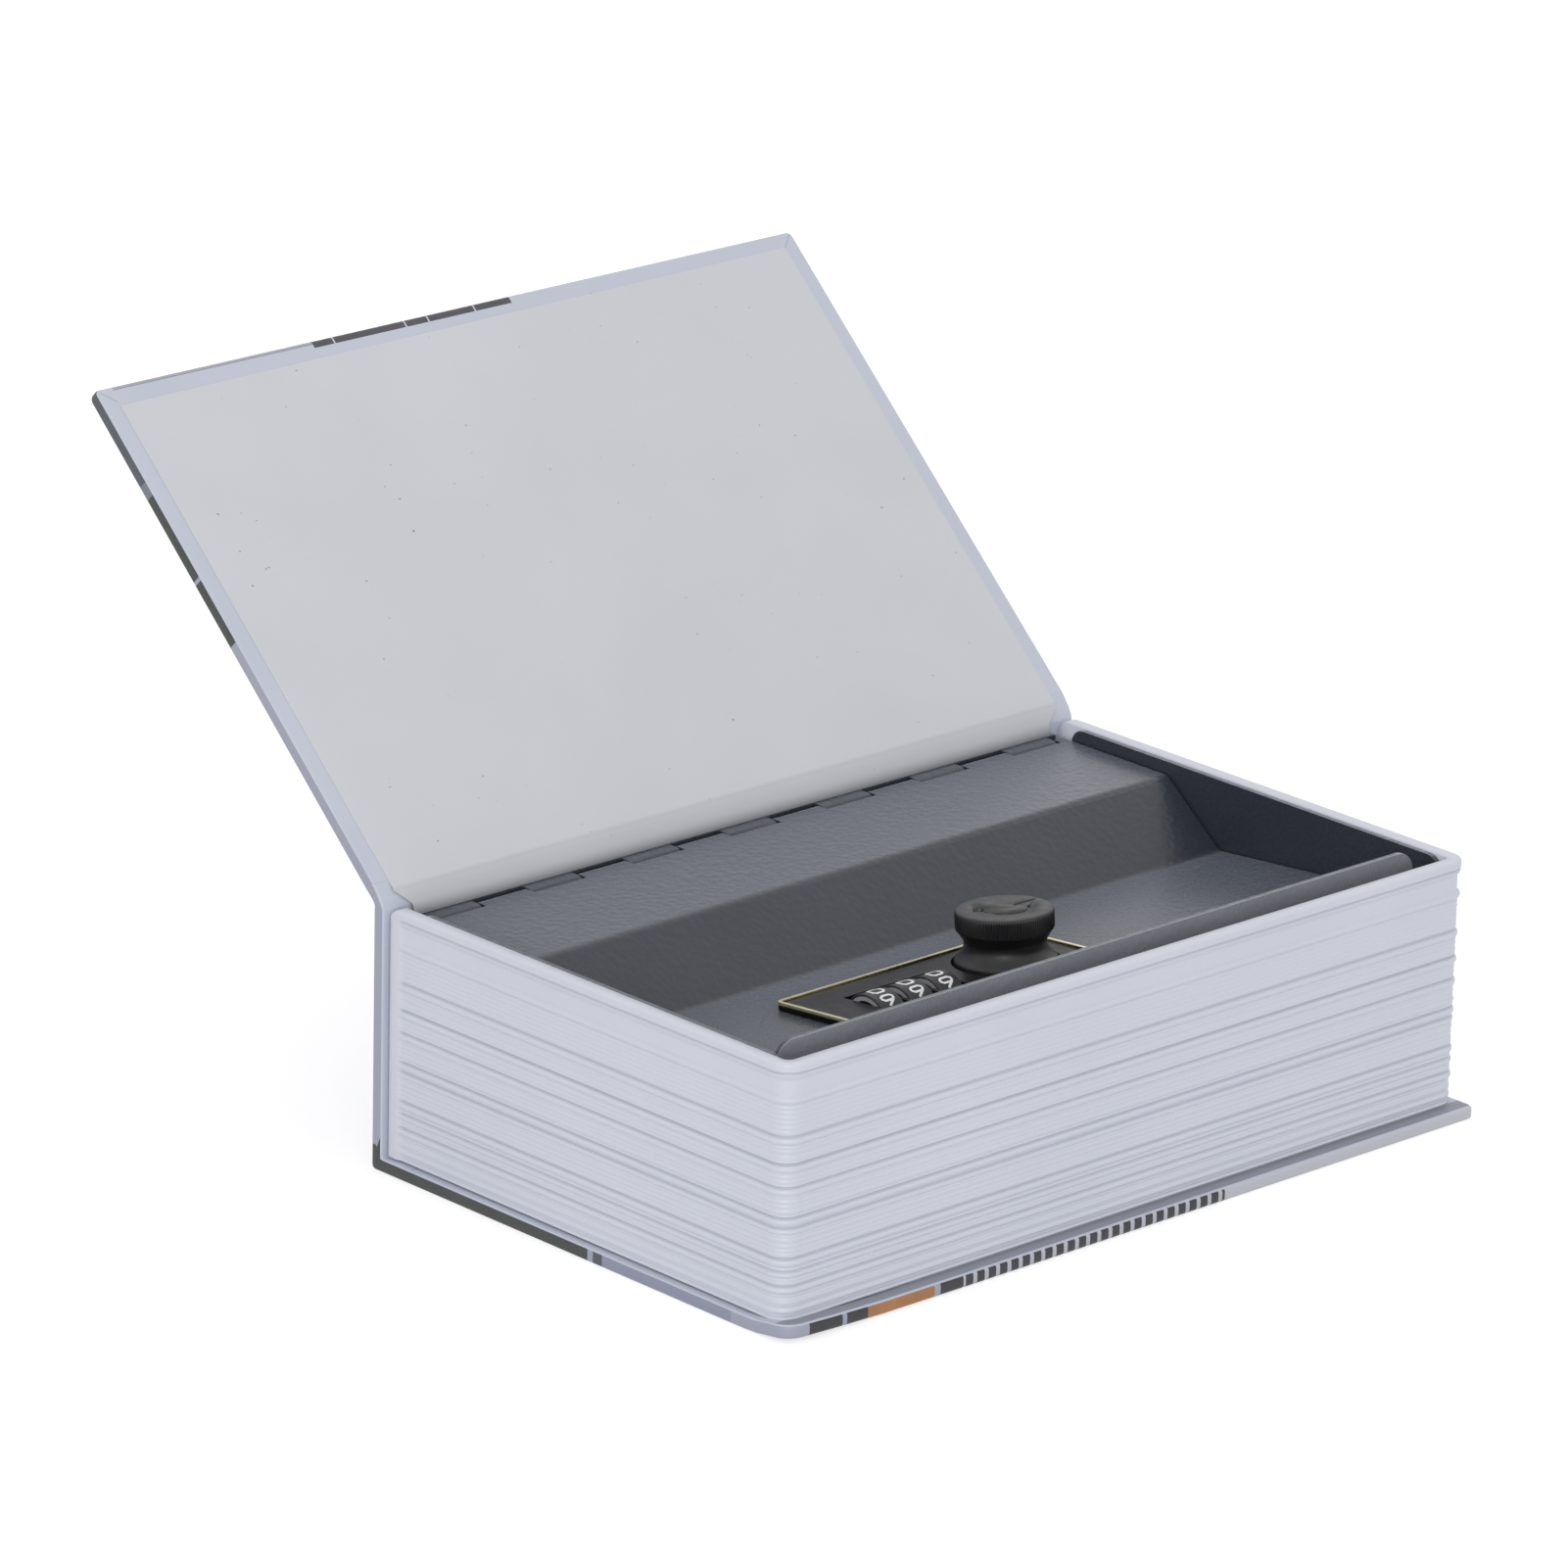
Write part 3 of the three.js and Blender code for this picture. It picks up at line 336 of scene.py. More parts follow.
def moulded_pages():
    """Injection-moulded ABS in the colour of page edges: satin, with painted shade that makes it
    darker in the grooves"""
    material, tree, shader = new_surface("moulded_abs_pages", {"Roughness": 0.36, "IOR": 1.53})
    groove = add(tree, "Attribute", {"attribute_name": "groove"}).outputs["Fac"]
    cloud = tint(tree, grain(tree, 35, 2), "#CDD1DC", "#D6D9E3")
    # painted shade: the grooves are tinted darker
    colour = tint(tree, groove, cloud, "#B9BCC8")
    tree.links.new(colour, shader.inputs["Base Color"])
    uneven_gloss(tree, shader, grain(tree, 5, 3), 0.3, 0.42)
    relief(tree, shader, grain(tree, 0.7, 2), 0.006, 0.4)
    return material


def hammertone_steel(name, flange_front=None):
    """Sheet steel, powder coated in glossy black-blue: the coat flows into dimples about 1.5 mm
    across. It looks near black face on and shines pale where it is seen along the sheet. On the
    lid, painted light makes the coat pale grey on the front face of its flange, at its lowest Y"""
    material, tree, shader = new_surface(name, {
        "IOR": 1.5, "Sheen Weight": 0.85, "Sheen Roughness": 0.35,
        "Sheen Tint": linear("#D3DAEA")})
    place = add(tree, "TexCoord", {}).outputs["Object"]
    dimples = add(tree, "TexVoronoi", {"Vector": place, "Scale": 1000 / 1.5,
                                       "feature": "SMOOTH_F1", "Smoothness": 0.6}).outputs[0]
    fine = grain(tree, 0.6, 2)
    cloud = grain(tree, 22, 3)
    colour = tint(tree, cloud, "#2B2F38", "#343943")
    if flange_front is not None:
        # painted light: the flange's front face is tinted pale grey
        depth = add(tree, "SeparateXYZ", {0: place}).outputs[1]
        flange_light_mask = add(tree, "MapRange", {"Value": depth, "From Min": (flange_front + 0.1) * MM,
                                        "From Max": (flange_front + 0.3) * MM, "To Min": 1,
                                        "To Max": 0}).outputs[0]
        colour = tint(tree, flange_light_mask, colour, tint(tree, cloud, "#8B8D96", "#989AA3"))
    tree.links.new(colour, shader.inputs["Base Color"])
    uneven_gloss(tree, shader, fine, 0.22, 0.34)
    first = relief(tree, shader, dimples, 0.1, 0.8)
    relief(tree, shader, fine, 0.02, 0.5, first)
    return material


def moulded_black():
    """Moulded black ABS, spark-eroded mould: a fine even grain with a satin shine"""
    material, tree, shader = new_surface("moulded_black_abs", {"IOR": 1.53})
    tree.links.new(tint(tree, grain(tree, 6, 3), "#101012", "#17171A"),
                   shader.inputs["Base Color"])
    uneven_gloss(tree, shader, grain(tree, 2, 3), 0.34, 0.48)
    relief(tree, shader, grain(tree, 0.25, 2), 0.01, 0.6)
    return material


PLATE_SIDE, PLATE_FACE = 1.25, 1.45  # the paint starts and is full this far over the floor


def moulded_plate():
    """Moulded black ABS whose upper face is sprayed near black with a touch of plum: a broad
    soft shine"""
    material, tree, shader = new_surface("plum_painted_abs", {
        "IOR": 1.5, "Specular IOR Level": 0.15})
    place = add(tree, "TexCoord", {}).outputs["Object"]
    facing = add(tree, "VectorMath", {"operation": "DOT_PRODUCT", 0: place,
                                      1: (0, math.sin(LOCK_TILT), math.cos(LOCK_TILT))})
    level = LOCK_AT[1] * math.sin(LOCK_TILT) + LOCK_AT[2] * math.cos(LOCK_TILT)
    sprayed = add(tree, "MapRange", {"Value": facing.outputs["Value"],
                                     "From Min": (level + PLATE_SIDE) * MM,
                                     "From Max": (level + PLATE_FACE) * MM,
                                     "To Min": 0, "To Max": 1}).outputs[0]
    paint = tint(tree, grain(tree, 10, 3), "#1A191D", "#222125")
    tree.links.new(tint(tree, sprayed, "#0C0C0D", paint), shader.inputs["Base Color"])
    uneven_gloss(tree, shader, grain(tree, 3, 3), 0.26, 0.34)
    relief(tree, shader, grain(tree, 0.3, 2), 0.012, 0.6)
    return material


def foil_line():
    """Gilt foil hot-stamped on the plate's edge: bright and smooth, a little uneven in tone"""
    material, tree, shader = new_surface("stamped_gilt_foil", {"Metallic": 1.0})
    tree.links.new(tint(tree, grain(tree, 3, 3), "#DDD0A2", "#EFE7C4"),
                   shader.inputs["Base Color"])
    uneven_gloss(tree, shader, grain(tree, 4, 2), 0.24, 0.34)
    return material


def plated_steel(name, light, dark, roughness):
    """Pressed or turned metal with a thin plating: faint drawing lines along the spine"""
    material, tree, shader = new_surface(name, {"Metallic": 1.0})
    place = add(tree, "TexCoord", {}).outputs["Object"]
    drawn = add(tree, "Mapping", {"Vector": place, "Scale": (0.06, 1, 1)}).outputs[0]
    lines = grain(tree, 0.3, 3, 0.6, drawn)
    tree.links.new(tint(tree, lines, dark, light), shader.inputs["Base Color"])
    uneven_gloss(tree, shader, lines, roughness - 0.07, roughness + 0.07)
    relief(tree, shader, lines, 0.006, 0.5)
    return material


def satin_paint():
    """Light grey satin paint on the dials' sides: even, slightly cloudy"""
    material, tree, shader = new_surface("satin_grey_paint", {"Roughness": 0.4, "IOR": 1.5})
    tree.links.new(tint(tree, grain(tree, 2, 2), "#A4A5AA", "#B4B5BA"),
                   shader.inputs["Base Color"])
    return material


def printed_numeral():
    """Pad-printed white ink on the dials: matt, with a slightly thin edge"""
    material, tree, shader = new_surface("pad_printed_white", {"Roughness": 0.5, "IOR": 1.5})
    tree.links.new(tint(tree, grain(tree, 0.5, 2), "#E9E9EC", "#F6F6F7"),
                   shader.inputs["Base Color"])
    return material


WRAP = litho_wrap()
TURN_IN = turned_in_paper()
ENDPAPER = offset_endpaper()
PAGES = moulded_pages()
STEEL = hammertone_steel("textured_powder_coat")
# the lid's coat carries painted light on the front face of its flange
LID_STEEL = hammertone_steel("powder_coat_painted_light_at_flange", box_mm("lid_panel")[0][1])
BLACK = moulded_black()
PLATE = moulded_plate()
GILT = foil_line()
ZINC = plated_steel("zinc_plated_steel", "#C9CBCE", "#A3A6AA", 0.36)
BRASS = plated_steel("turned_brass", "#C9A85F", "#A88744", 0.3)
NUMERAL = printed_numeral()
DIAL_SIDE = satin_paint()


# Mesh tools
def make_piece(name, points, faces, materials, face_material=None, flat_places=None,
               sharp=35):
    """A piece from points in millimetres. face_material picks a material for each face, and
    flat_places gives each point's place on the flat wrap"""
    mesh = bpy.data.meshes.new(name)
    mesh.from_pydata([tuple(p) for p in np.asarray(points, float) * MM], [], faces)
    for material in materials:
        mesh.materials.append(material)
    if face_material is not None:
        mesh.polygons.foreach_set("material_index", face_material)
    if flat_places is not None:
        layer = mesh.uv_layers.new(name="wrap_place")
        corners = np.zeros(len(mesh.loops), np.int32)
        mesh.loops.foreach_get("vertex_index", corners)
        layer.data.foreach_set("uv", np.asarray(flat_places, float)[corners].ravel())
    shape = bmesh.new()
    shape.from_mesh(mesh)
    bmesh.ops.recalc_face_normals(shape, faces=shape.faces)
    shape.to_mesh(mesh)
    shape.free()
    mesh.polygons.foreach_set("use_smooth", [True] * len(mesh.polygons))
    mesh.set_sharp_from_angle(angle=math.radians(sharp))
    mesh.update()
    piece = bpy.data.objects.new(name, mesh)
    bpy.context.scene.collection.objects.link(piece)
    return piece


def loft(rings, caps=True):
    """Points and faces over rings of points; caps closes the first and last ring"""
    rings = np.asarray(rings, float)
    count, length = rings.shape[:2]
    faces = []
    for i in range(count - 1):
        for j in range(length):
            a, b = i * length + j, i * length + (j + 1) % length
            faces.append((a, a + length, b + length, b))
    if caps:
        faces.append(tuple(range(length)))
        faces.append(tuple(reversed(range((count - 1) * length, count * length))))
    return rings.reshape(-1, 3), faces


def gather(parts):
    """Several (points, faces) as one"""
    points, faces, start = [], [], 0
    for part_points, part_faces in parts:
        points.append(np.asarray(part_points, float))
        faces += [tuple(start + i for i in face) for face in part_faces]
        start += len(part_points)
    return np.concatenate(points), faces


def arc(centre, radius, start, end, steps=6):
    """Points of an arc in a plane; angles in degrees"""
    return [(centre[0] + radius * math.cos(math.radians(start + (end - start) * i / steps)),
             centre[1] + radius * math.sin(math.radians(start + (end - start) * i / steps)))
            for i in range(steps + 1)]


def slab(outline, low, high):
    """A flat outline as a solid plate"""
    return loft([[(x, y, z) for x, y in outline] for z in (high, low)])


def inset(outline, amount):
    """A closed outline moved in by amount, along the mean of its two sides' normals. The
    outline runs anticlockwise"""
    outline = np.asarray(outline, float)
    before = outline - np.roll(outline, 1, 0)
    after = np.roll(outline, -1, 0) - outline
    normals = []
    for side in (before, after):
        length = np.linalg.norm(side, axis=1, keepdims=True)
        normals.append(np.stack([-side[:, 1], side[:, 0]], 1) / length)
    total = normals[0] + normals[1]
    return outline + total * (2 * amount / np.sum(total ** 2, 1, keepdims=True))


# Printed case
EDGE = 0.8  # radius of a board's long edges under the wrap
END_ROUND = 0.4
ROUND_CORNER, SQUARE_CORNER = 4.0, 1.0
TURN_UP = 0.85  # the left fore-edge corner of the back cover stands up this much
TURN_UP_FROM, TURN_UP_LENGTH = (-60, -48), (28, 6)  # in X and in Y
LOWER_ROUND = 1.0
SPINE_MIDDLE = 28.0  # height of the spine's middle, where v is 0


def sweep_case(outline, half, left_corner=SQUARE_CORNER):
    """A board's section in Y and Z drawn along the spine, its two ends rounded off and its
    fore-edge corners round in plan"""
    stations = [(half - s, 0.0, half - s) for s in (12, 4, 3.2, 2.5, 1.9, 1.35, 1.0, 0.7)]
    round_steps = 5
    for i in range(round_steps + 1):
        a = math.pi / 2 * i / round_steps
        stations.append((half - END_ROUND * (1 - math.sin(a)), END_ROUND * (1 - math.cos(a)),
                         half - END_ROUND + END_ROUND * a))
    stations.sort()
    middle = [(x, 0.0, x) for x in np.linspace(-half + 24, half - 24, 7)]
    rows = [(-x, d, -u) for x, d, u in stations[::-1]] + middle + stations
    rings, places = [], []
    corner_back, corner_fade = -40, 12
    for x, depth, u in rows:
        corner = left_corner if x < 0 else SQUARE_CORNER
        across = max(0.0, corner - (half - abs(x)))
        shift = corner - math.sqrt(corner ** 2 - across ** 2)
        shape = inset(outline, depth)
        rings.append([(x, y + shift * min(1, max(0, (corner_back - y) / corner_fade)), z)
                      for y, z in shape])
        places.append(u)
    points, faces = loft(rings)
    return points, faces, np.repeat(places, len(outline))


def back_and_spine():
    """Back cover, lower joint and spine: one wrap, so one piece"""
    out, top = SPINE_OUT, BOARD
    outline = arc((FORE_EDGE + EDGE, top - EDGE), EDGE, 90, 180)
    outline += arc((FORE_EDGE + EDGE, EDGE), EDGE, 180, 270)
    outline += [(y, 0.0) for y in (-52, -47, -40, -20, 0, 20, 40)]
    outline += arc((out - LOWER_ROUND, LOWER_ROUND), LOWER_ROUND, 270, 360)
    outline += [(out, z) for z in (10.0, 28.0, 45.0)]
    outline += arc((out - EDGE, SPINE_TOP - EDGE), EDGE, 0, 90)
    outline += arc((SPINE_IN + EDGE, SPINE_TOP - EDGE), EDGE, 90, 180)
    outline += [(SPINE_IN, z) for z in (45.0, 28.0, 10.0)]
    outline += arc((SPINE_IN - 0.5, top + 0.5), 0.5, 360, 270, 3)
    outline += [(y, top) for y in (40, 20, 0, -20, -40, -47, -52)]
    points, faces, u = sweep_case(outline, HALF, ROUND_CORNER)
    y, z = points[:, 1], points[:, 2].copy()
    v = np.where(z > top + 0.6, z - SPINE_MIDDLE, y - SPINE_OUT - SPINE_MIDDLE)
    v = np.where((abs(z - top) < 0.01) & (y < 50), -FORE_V - (y - FORE_EDGE), v)
    inner = [(z[list(f)].min() > top - 0.4 and y[list(f)].max() < SPINE_IN + 0.4)
             for f in faces]
    along = np.clip((TURN_UP_FROM[0] - points[:, 0]) / TURN_UP_LENGTH[0], 0, 1)
    forward = np.clip((TURN_UP_FROM[1] - y) / TURN_UP_LENGTH[1], 0, 1)
    points[:, 2] += TURN_UP * along ** 1.5 * forward
    piece = make_piece("back_and_spine_case", points, faces, [WRAP, TURN_IN],
                       [int(i) for i in inner], np.stack([u, v], 1))
    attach(piece, "base")
    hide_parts("back_wrap", "back_board", "spine_wrap", "spine_board", "lower_crease")


def open_out(points):
    """Points of the shut front cover as they lie when it stands open"""
    turned = np.array(points, float)
    a = -OPEN_ANGLE
    y, z = turned[:, 1] - PIVOT[1], turned[:, 2] - PIVOT[2]
    turned[:, 1] = PIVOT[1] + y * math.cos(a) - z * math.sin(a)
    turned[:, 2] = PIVOT[2] + y * math.sin(a) + z * math.cos(a)
    return turned


def front_case():
    """Front cover: board and wrap"""
    low, high = SHUT_UNDER, SHUT_TOP
    outline = arc((FORE_EDGE + EDGE, high - EDGE), EDGE, 90, 180)
    outline += arc((FORE_EDGE + EDGE, low + EDGE), EDGE, 180, 270)
    outline += [(y, low) for y in np.linspace(-40, 40, 5)]
    outline += [(BOARD_BACK, low), (BOARD_BACK, high)]
    outline += [(y, high) for y in np.linspace(40, -40, 5)]
    points, faces, u = sweep_case(outline, HALF)
    y, z = points[:, 1], points[:, 2]
    v = np.where(abs(z - low) < 0.01, FORE_V + (y - FORE_EDGE), SPINE_MIDDLE + SPINE_OUT - y)
    inner = [points[list(f), 2].max() < low + 0.4 for f in faces]
    piece = make_piece("front_cover_case", open_out(points), faces, [WRAP, TURN_IN],
                       [int(i) for i in inner], np.stack([u, v], 1))
    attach(piece, "cover")
    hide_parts("front_wrap", "front_board")


def upper_joint():
    """Bare wrap and its turned-in ends between spine and front cover. Its ends lie
    inside the spine and the cover, a hair under their faces"""
    hair, end_hair = 0.04, 0.01
    setback = PIVOT[1] - BOARD_BACK
    along = np.array([-math.cos(OPEN_ANGLE), math.sin(OPEN_ANGLE)])
    inner_at = open_out([[0, PIVOT[1], SHUT_UNDER + hair]])[0, 1:]
    outer_at = open_out([[0, PIVOT[1], SHUT_TOP - hair]])[0, 1:]
    outer = [(SPINE_OUT - hair, SPINE_TOP - 2.4), (SPINE_OUT - hair, SPINE_TOP - 1.2),
             (SPINE_OUT - hair + 0.02, SPINE_TOP - 0.3), (SPINE_OUT + 0.35, SPINE_TOP + 0.35)]
    inside = [(SPINE_IN + hair, SPINE_TOP - 2.4), (SPINE_IN + hair, SPINE_TOP - 1.2),
              (SPINE_IN + 0.15, SPINE_TOP - 0.1), (SPINE_IN + 0.9, SPINE_TOP + 1.3)]
    outer += [tuple(outer_at + along * s) for s in (setback - 0.5, setback + 0.5, setback + 2)]
    inside += [tuple(inner_at + along * s) for s in (setback - 0.5, setback + 0.5, setback + 2)]
    points, faces, u = sweep_case(outer + inside[::-1], HALF - end_hair)
    v = np.full(len(points), SPINE_MIDDLE)
    mid = len(outer)
    ring = len(outer) + len(inside)
    inner = [all(i % ring >= mid for i in f) and len(f) == 4 for f in faces]
    piece = make_piece("upper_joint", points, faces, [WRAP, TURN_IN], [int(i) for i in inner],
                       np.stack([u, v], 1), sharp=50)
    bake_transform(piece)
    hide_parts("upper_crease")


SAG = 0.35
LINER_TAPER = 3.3  # the strip narrows by this at each end, to pass the block's walls
SLANT = 0.55  # the endpaper's fore edge is pasted down slightly askew
SHORT = 0.35  # and it stops this far short of its margin
GLUE_BACK, GLUE_DROP = 0.95, 2.65  # the strip's lower end, from the spine's inside and the rim
CREASE = 0.5  # length of the crease at the pivot
# Painted shade on the endpaper: a little at the crease, more down the strip, deepest at its foot
# by the lid
CREASE_SHADE, STRIP_SHADE, FOOT_SHADE = 0.07, 0.03, 0.6


def endpaper_and_liner():
    """Front endpaper, pasted on the cover and carried on over the joint down to the tray's
    rear wall in one sheet"""
    along = np.array([-math.cos(OPEN_ANGLE), math.sin(OPEN_ANGLE)])
    inward = np.array([-math.sin(OPEN_ANGLE), -math.cos(OPEN_ANGLE)])
    foot = open_out([[0, PIVOT[1], SHUT_UNDER]])[0, 1:]
    reach = PIVOT[1] - FORE_EDGE - MARGIN
    # its lower end is glued on the tray's rear wall, behind the swing of the lid's knuckles
    end = np.array([SPINE_IN - GLUE_BACK, RIM - GLUE_DROP])
    path = [(foot + along * s, HALF - MARGIN) for s in np.linspace(reach - SHORT, CREASE, 40)]
    # painted shade along the path, none on the cover
    painted_shade = [0.0] * len(path)
    # a crease at the pivot, then a strip that sags a little on its way down
    start = foot + along * CREASE
    bend, leave = foot + along * CREASE / 10, foot + 0.07 * (end - foot)
    crease_steps, strip_steps = 4, 14
    for i in range(1, crease_steps + 1):
        t = i / crease_steps
        path.append(((1 - t) ** 2 * start + 2 * t * (1 - t) * bend + t * t * leave,
                     HALF - MARGIN))
        painted_shade.append(CREASE_SHADE * t)
    fall = end - leave
    across = np.array([fall[1], -fall[0]]) / np.linalg.norm(fall)
    for i in range(1, strip_steps + 1):
        t = i / strip_steps
        path.append((leave + t * fall + across * SAG * 4 * t * (1 - t),
                     HALF - MARGIN - LINER_TAPER * min(1, t / 0.6)))
        low = max(0, (t - 0.5) / 0.5)
        painted_shade.append(CREASE_SHADE + STRIP_SHADE * t + FOOT_SHADE * low ** 1.6)
    spots = np.array([p for p, _ in path])
    course = np.gradient(spots, axis=0)
    course /= np.linalg.norm(course, axis=1, keepdims=True)
    facing = np.stack([course[:, 1], -course[:, 0]], 1)
    if facing[0] @ inward < 0:
        facing = -facing
    columns = np.linspace(-1, 1, 61)
    rings = []
    for (point, half), face in zip(path, facing):
        front = [(c * half, *(point + face * PAPER)) for c in columns]
        rear = [(c * half, *(point - face * SUNK)) for c in columns[::-1]]
        rings.append(front + rear)
    rings = np.array(rings)
    rings[0, :, 1:] += along * SLANT * rings[0, :, :1] / HALF
    points, faces = loft(rings)
    piece = make_piece("endpaper_and_liner", points, faces, [ENDPAPER], sharp=50)
    # the painted shade, kept on each point for the endpaper's material
    shade = piece.data.attributes.new("painted_shade", "FLOAT", "POINT")
    shade.data.foreach_set("value", np.repeat(painted_shade, len(rings[0])).astype(np.float32))
    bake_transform(piece)
    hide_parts("front_endpaper", "hinge_liner")


def back_endpaper():
    """Endpaper on the inner face of the back cover, under the page block"""
    edge, front, back = HALF - MARGIN, FORE_EDGE + MARGIN, SPINE_IN - 1
    corners = [(-edge, front), (edge, front), (edge, back), (-edge, back)]
    below, above = 0.05, 0.08
    points, faces = slab(corners, BOARD - below, BOARD + above)
    piece = make_piece("back_endpaper_sheet", points, faces, [ENDPAPER])
    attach(piece, "base")
    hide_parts("back_endpaper")


back_and_spine()
back_endpaper()
front_case()
upper_joint()
endpaper_and_liner()


# Page block
# Proud gatherings of the moulding: depth under the rim and half width in millimetres, and how
# proud each stands, from 0 to 1
GATHERINGS = ((2.45, 0.45, 0.8), (7.1, 0.8, 1.0), (15.0, 0.75, 0.9), (16.9, 0.45, 0.5),
              (18.4, 0.5, 0.45), (20.3, 0.75, 0.88), (24.8, 0.75, 0.84), (26.7, 0.5, 0.45),
              (28.5, 0.65, 0.65), (30.6, 0.7, 0.8), (32.4, 0.6, 0.7), (34.0, 0.5, 0.5),
              (36.8, 0.5, 0.5), (38.5, 0.75, 0.82), (40.8, 0.6, 0.7), (42.3, 0.4, 0.45),
              (43.8, 0.75, 0.82), (46.1, 0.55, 0.55), (47.8, 0.65, 0.62))
RIB_DEPTH = 0.75
FINE_PITCH = 0.95
GROOVED = 0.68  # a gathering at least this proud has a groove over it
SOFT_GATHERING = 7.1  # except this one, which swells out of the plain band
PLAIN_BAND = 6.4  # the rim's lip and the plain band under it reach down to here
# the last is the half width of the painted shade in each groove
GROOVE_OFFSET, GROOVE_HALF, SHADE_HALF = 0.15, 0.3, 0.35
FOOT_GAP = 0.3  # the outer edge of the block's bottom stands this far off the endpaper
FAR = 99  # stands for a place on the wall that is far from its ends


def grooves_over(depth, reach):
    """The groove over each proud gathering, 1 in its middle, with the gathering's height"""
    for middle, half, height in GATHERINGS:
        if height > GROOVED and middle != SOFT_GATHERING:
            off = (depth - middle + half + GROOVE_OFFSET) / reach
            yield np.clip(1 - off ** 2, 0, 1), height


def rib_depths(depth):
    """How far the moulding's face lies in at each depth under the rim: fine ribs, proud
    gatherings, and a narrow groove over each of the proudest"""
    fine = 0.5 + 0.5 * np.cos(2 * math.pi * depth / FINE_PITCH)
    proud = 0.3 + 0.14 * fine
    lip_foot, lip_fall = 1.9, 1.6
    band = np.clip((depth - lip_foot) / lip_fall, 0, 1)
    proud = np.where(depth < PLAIN_BAND, 1 - 0.82 * band * band * (3 - 2 * band), proud)
    for middle, half, height in GATHERINGS:
        crest = np.clip(1 - ((depth - middle) / (1.25 * half)) ** 2, 0, 1)
        proud = np.maximum(proud, height * crest)
    for groove, _ in grooves_over(depth, GROOVE_HALF):
        proud = proud - 0.3 * groove
    return RIB_DEPTH * np.clip(1 - proud, 0, 1.2)


def groove_shade(depth):
    """1 in the narrow grooves, where shade is painted in as a darker colour, else 0"""
    shade = np.zeros_like(depth)
    for groove, height in grooves_over(depth, SHADE_HALF):
        shade = np.maximum(shade, groove * height)
    return shade


def page_block():
    """The moulding round the tray: three ribbed walls, smooth where they meet the spine"""
    wall, corner, end_round, fade = 2.9, 4.2, 2.8, 3.4
    samples, smooth_depth, fade_width, top_zone = 560, 0.06, 0.16, 9
    inner_half, inner_front = block_high[0] - wall, block_low[1] + wall
    back = block_high[1]
    tall = RIM - BLOCK_BOTTOM
    depth = np.linspace(0, tall - FOOT_GAP, samples)
    ribs = rib_depths(depth)
    rim = 0.55
    curve = rim - np.sqrt(np.maximum(0, rim ** 2 - (rim - depth) ** 2))
    ease_in = np.where(depth < rim, curve, 0)
    path = []
    stops = [0, 0.1, 0.25, 0.45, 0.7, 1.0, 1.5, 2.0, 2.4, 2.8, 3.3, 3.8, 4.0, 4.3, 4.7, 5.4, 8.0]
    radius = corner - wall
    for s in stops:
        path.append((-inner_half, back - s, -1, 0, s))
    for side, start in ((-1, 180), (1, 270)):
        for i in range(11):
            a = math.radians(start + 9 * i)
            c, s = math.cos(a), math.sin(a)
            path.append((side * (inner_half - radius) + radius * c,
                         inner_front + radius + radius * s, c, s, FAR))
        if side < 0:
            path += [(x, inner_front, 0, -1, FAR) for x in np.linspace(-60, 60, 7)]
    for s in stops[::-1]:
        path.append((inner_half, back - s, 1, 0, s))
    rings, grooves = [], []
    for x, y, nx, ny, s in path:
        ribbed = 1 / (1 + math.exp(-(s - fade) / fade_width)) if s < FAR else 1.0
        inward = smooth_depth * (1 - ribbed) + ribs * ribbed
        if s < 1.0:
            inward = inward + 1.0 - math.sqrt(1 - (1 - s) ** 2)
        top = RIM
        if s < end_round:
            top = RIM - end_round + math.sqrt(end_round ** 2 - (end_round - s) ** 2)
        z = RIM - depth
        low = RIM - top_zone
        z = np.where(z > low, low + (z - low) * (top - low) / top_zone, z)
        out = wall - inward - ease_in
        ring = [(x + nx * o, y + ny * o, h) for o, h in zip(out, z)]
        ring += [(x + nx, y + ny, BLOCK_BOTTOM + FOOT_GAP), (x + nx, y + ny, BLOCK_BOTTOM),
                 (x, y, BLOCK_BOTTOM), (x, y, top - 0.3), (x + nx * 0.3, y + ny * 0.3, top)]
        rings.append(ring)
        grooves.append(np.concatenate([ribbed * groove_shade(depth), [0] * 5]))
    points, faces = loft(rings)
    line = [(x, y) for x, y, *_ in path]
    floor = loft([[(x, y, h) for x, y in line] for h in (BLOCK_BOTTOM, BLOCK_BOTTOM + 1.5)])
    floor = (floor[0], [tuple(reversed(f)) for f in floor[1]])
    points, faces = gather([(points, faces), floor])
    piece = make_piece("ribbed_page_block", points, faces, [PAGES], sharp=60)
    # painted shade in the grooves, kept on each point for the pages' material
    groove = piece.data.attributes.new("groove", "FLOAT", "POINT")
    values = np.concatenate([np.concatenate(grooves), np.zeros(len(floor[0]))])
    groove.data.foreach_set("value", values.astype(np.float32))
    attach(piece, "base")
    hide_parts("page_block")


page_block()


# Lock
def in_lock(points, origin):
    """Points in the lock's frame (u along the spine, v to the back, w out of the plate), as
    they lie on the lid"""
    points = np.asarray(points, float)
    c, s = math.cos(LOCK_TILT), math.sin(LOCK_TILT)
    y, z = points[:, 1] * c + points[:, 2] * s, points[:, 2] * c - points[:, 1] * s
    return np.stack([points[:, 0], y, z], 1) + origin


KNOB_FOOT, KNOB_TOP = 0.3, 11.7
KNURL_DEPTH = 0.2
ENGRAVED, ABOVE = -0.25, 0.4  # the engraving tool's floor and top, from the knob's face


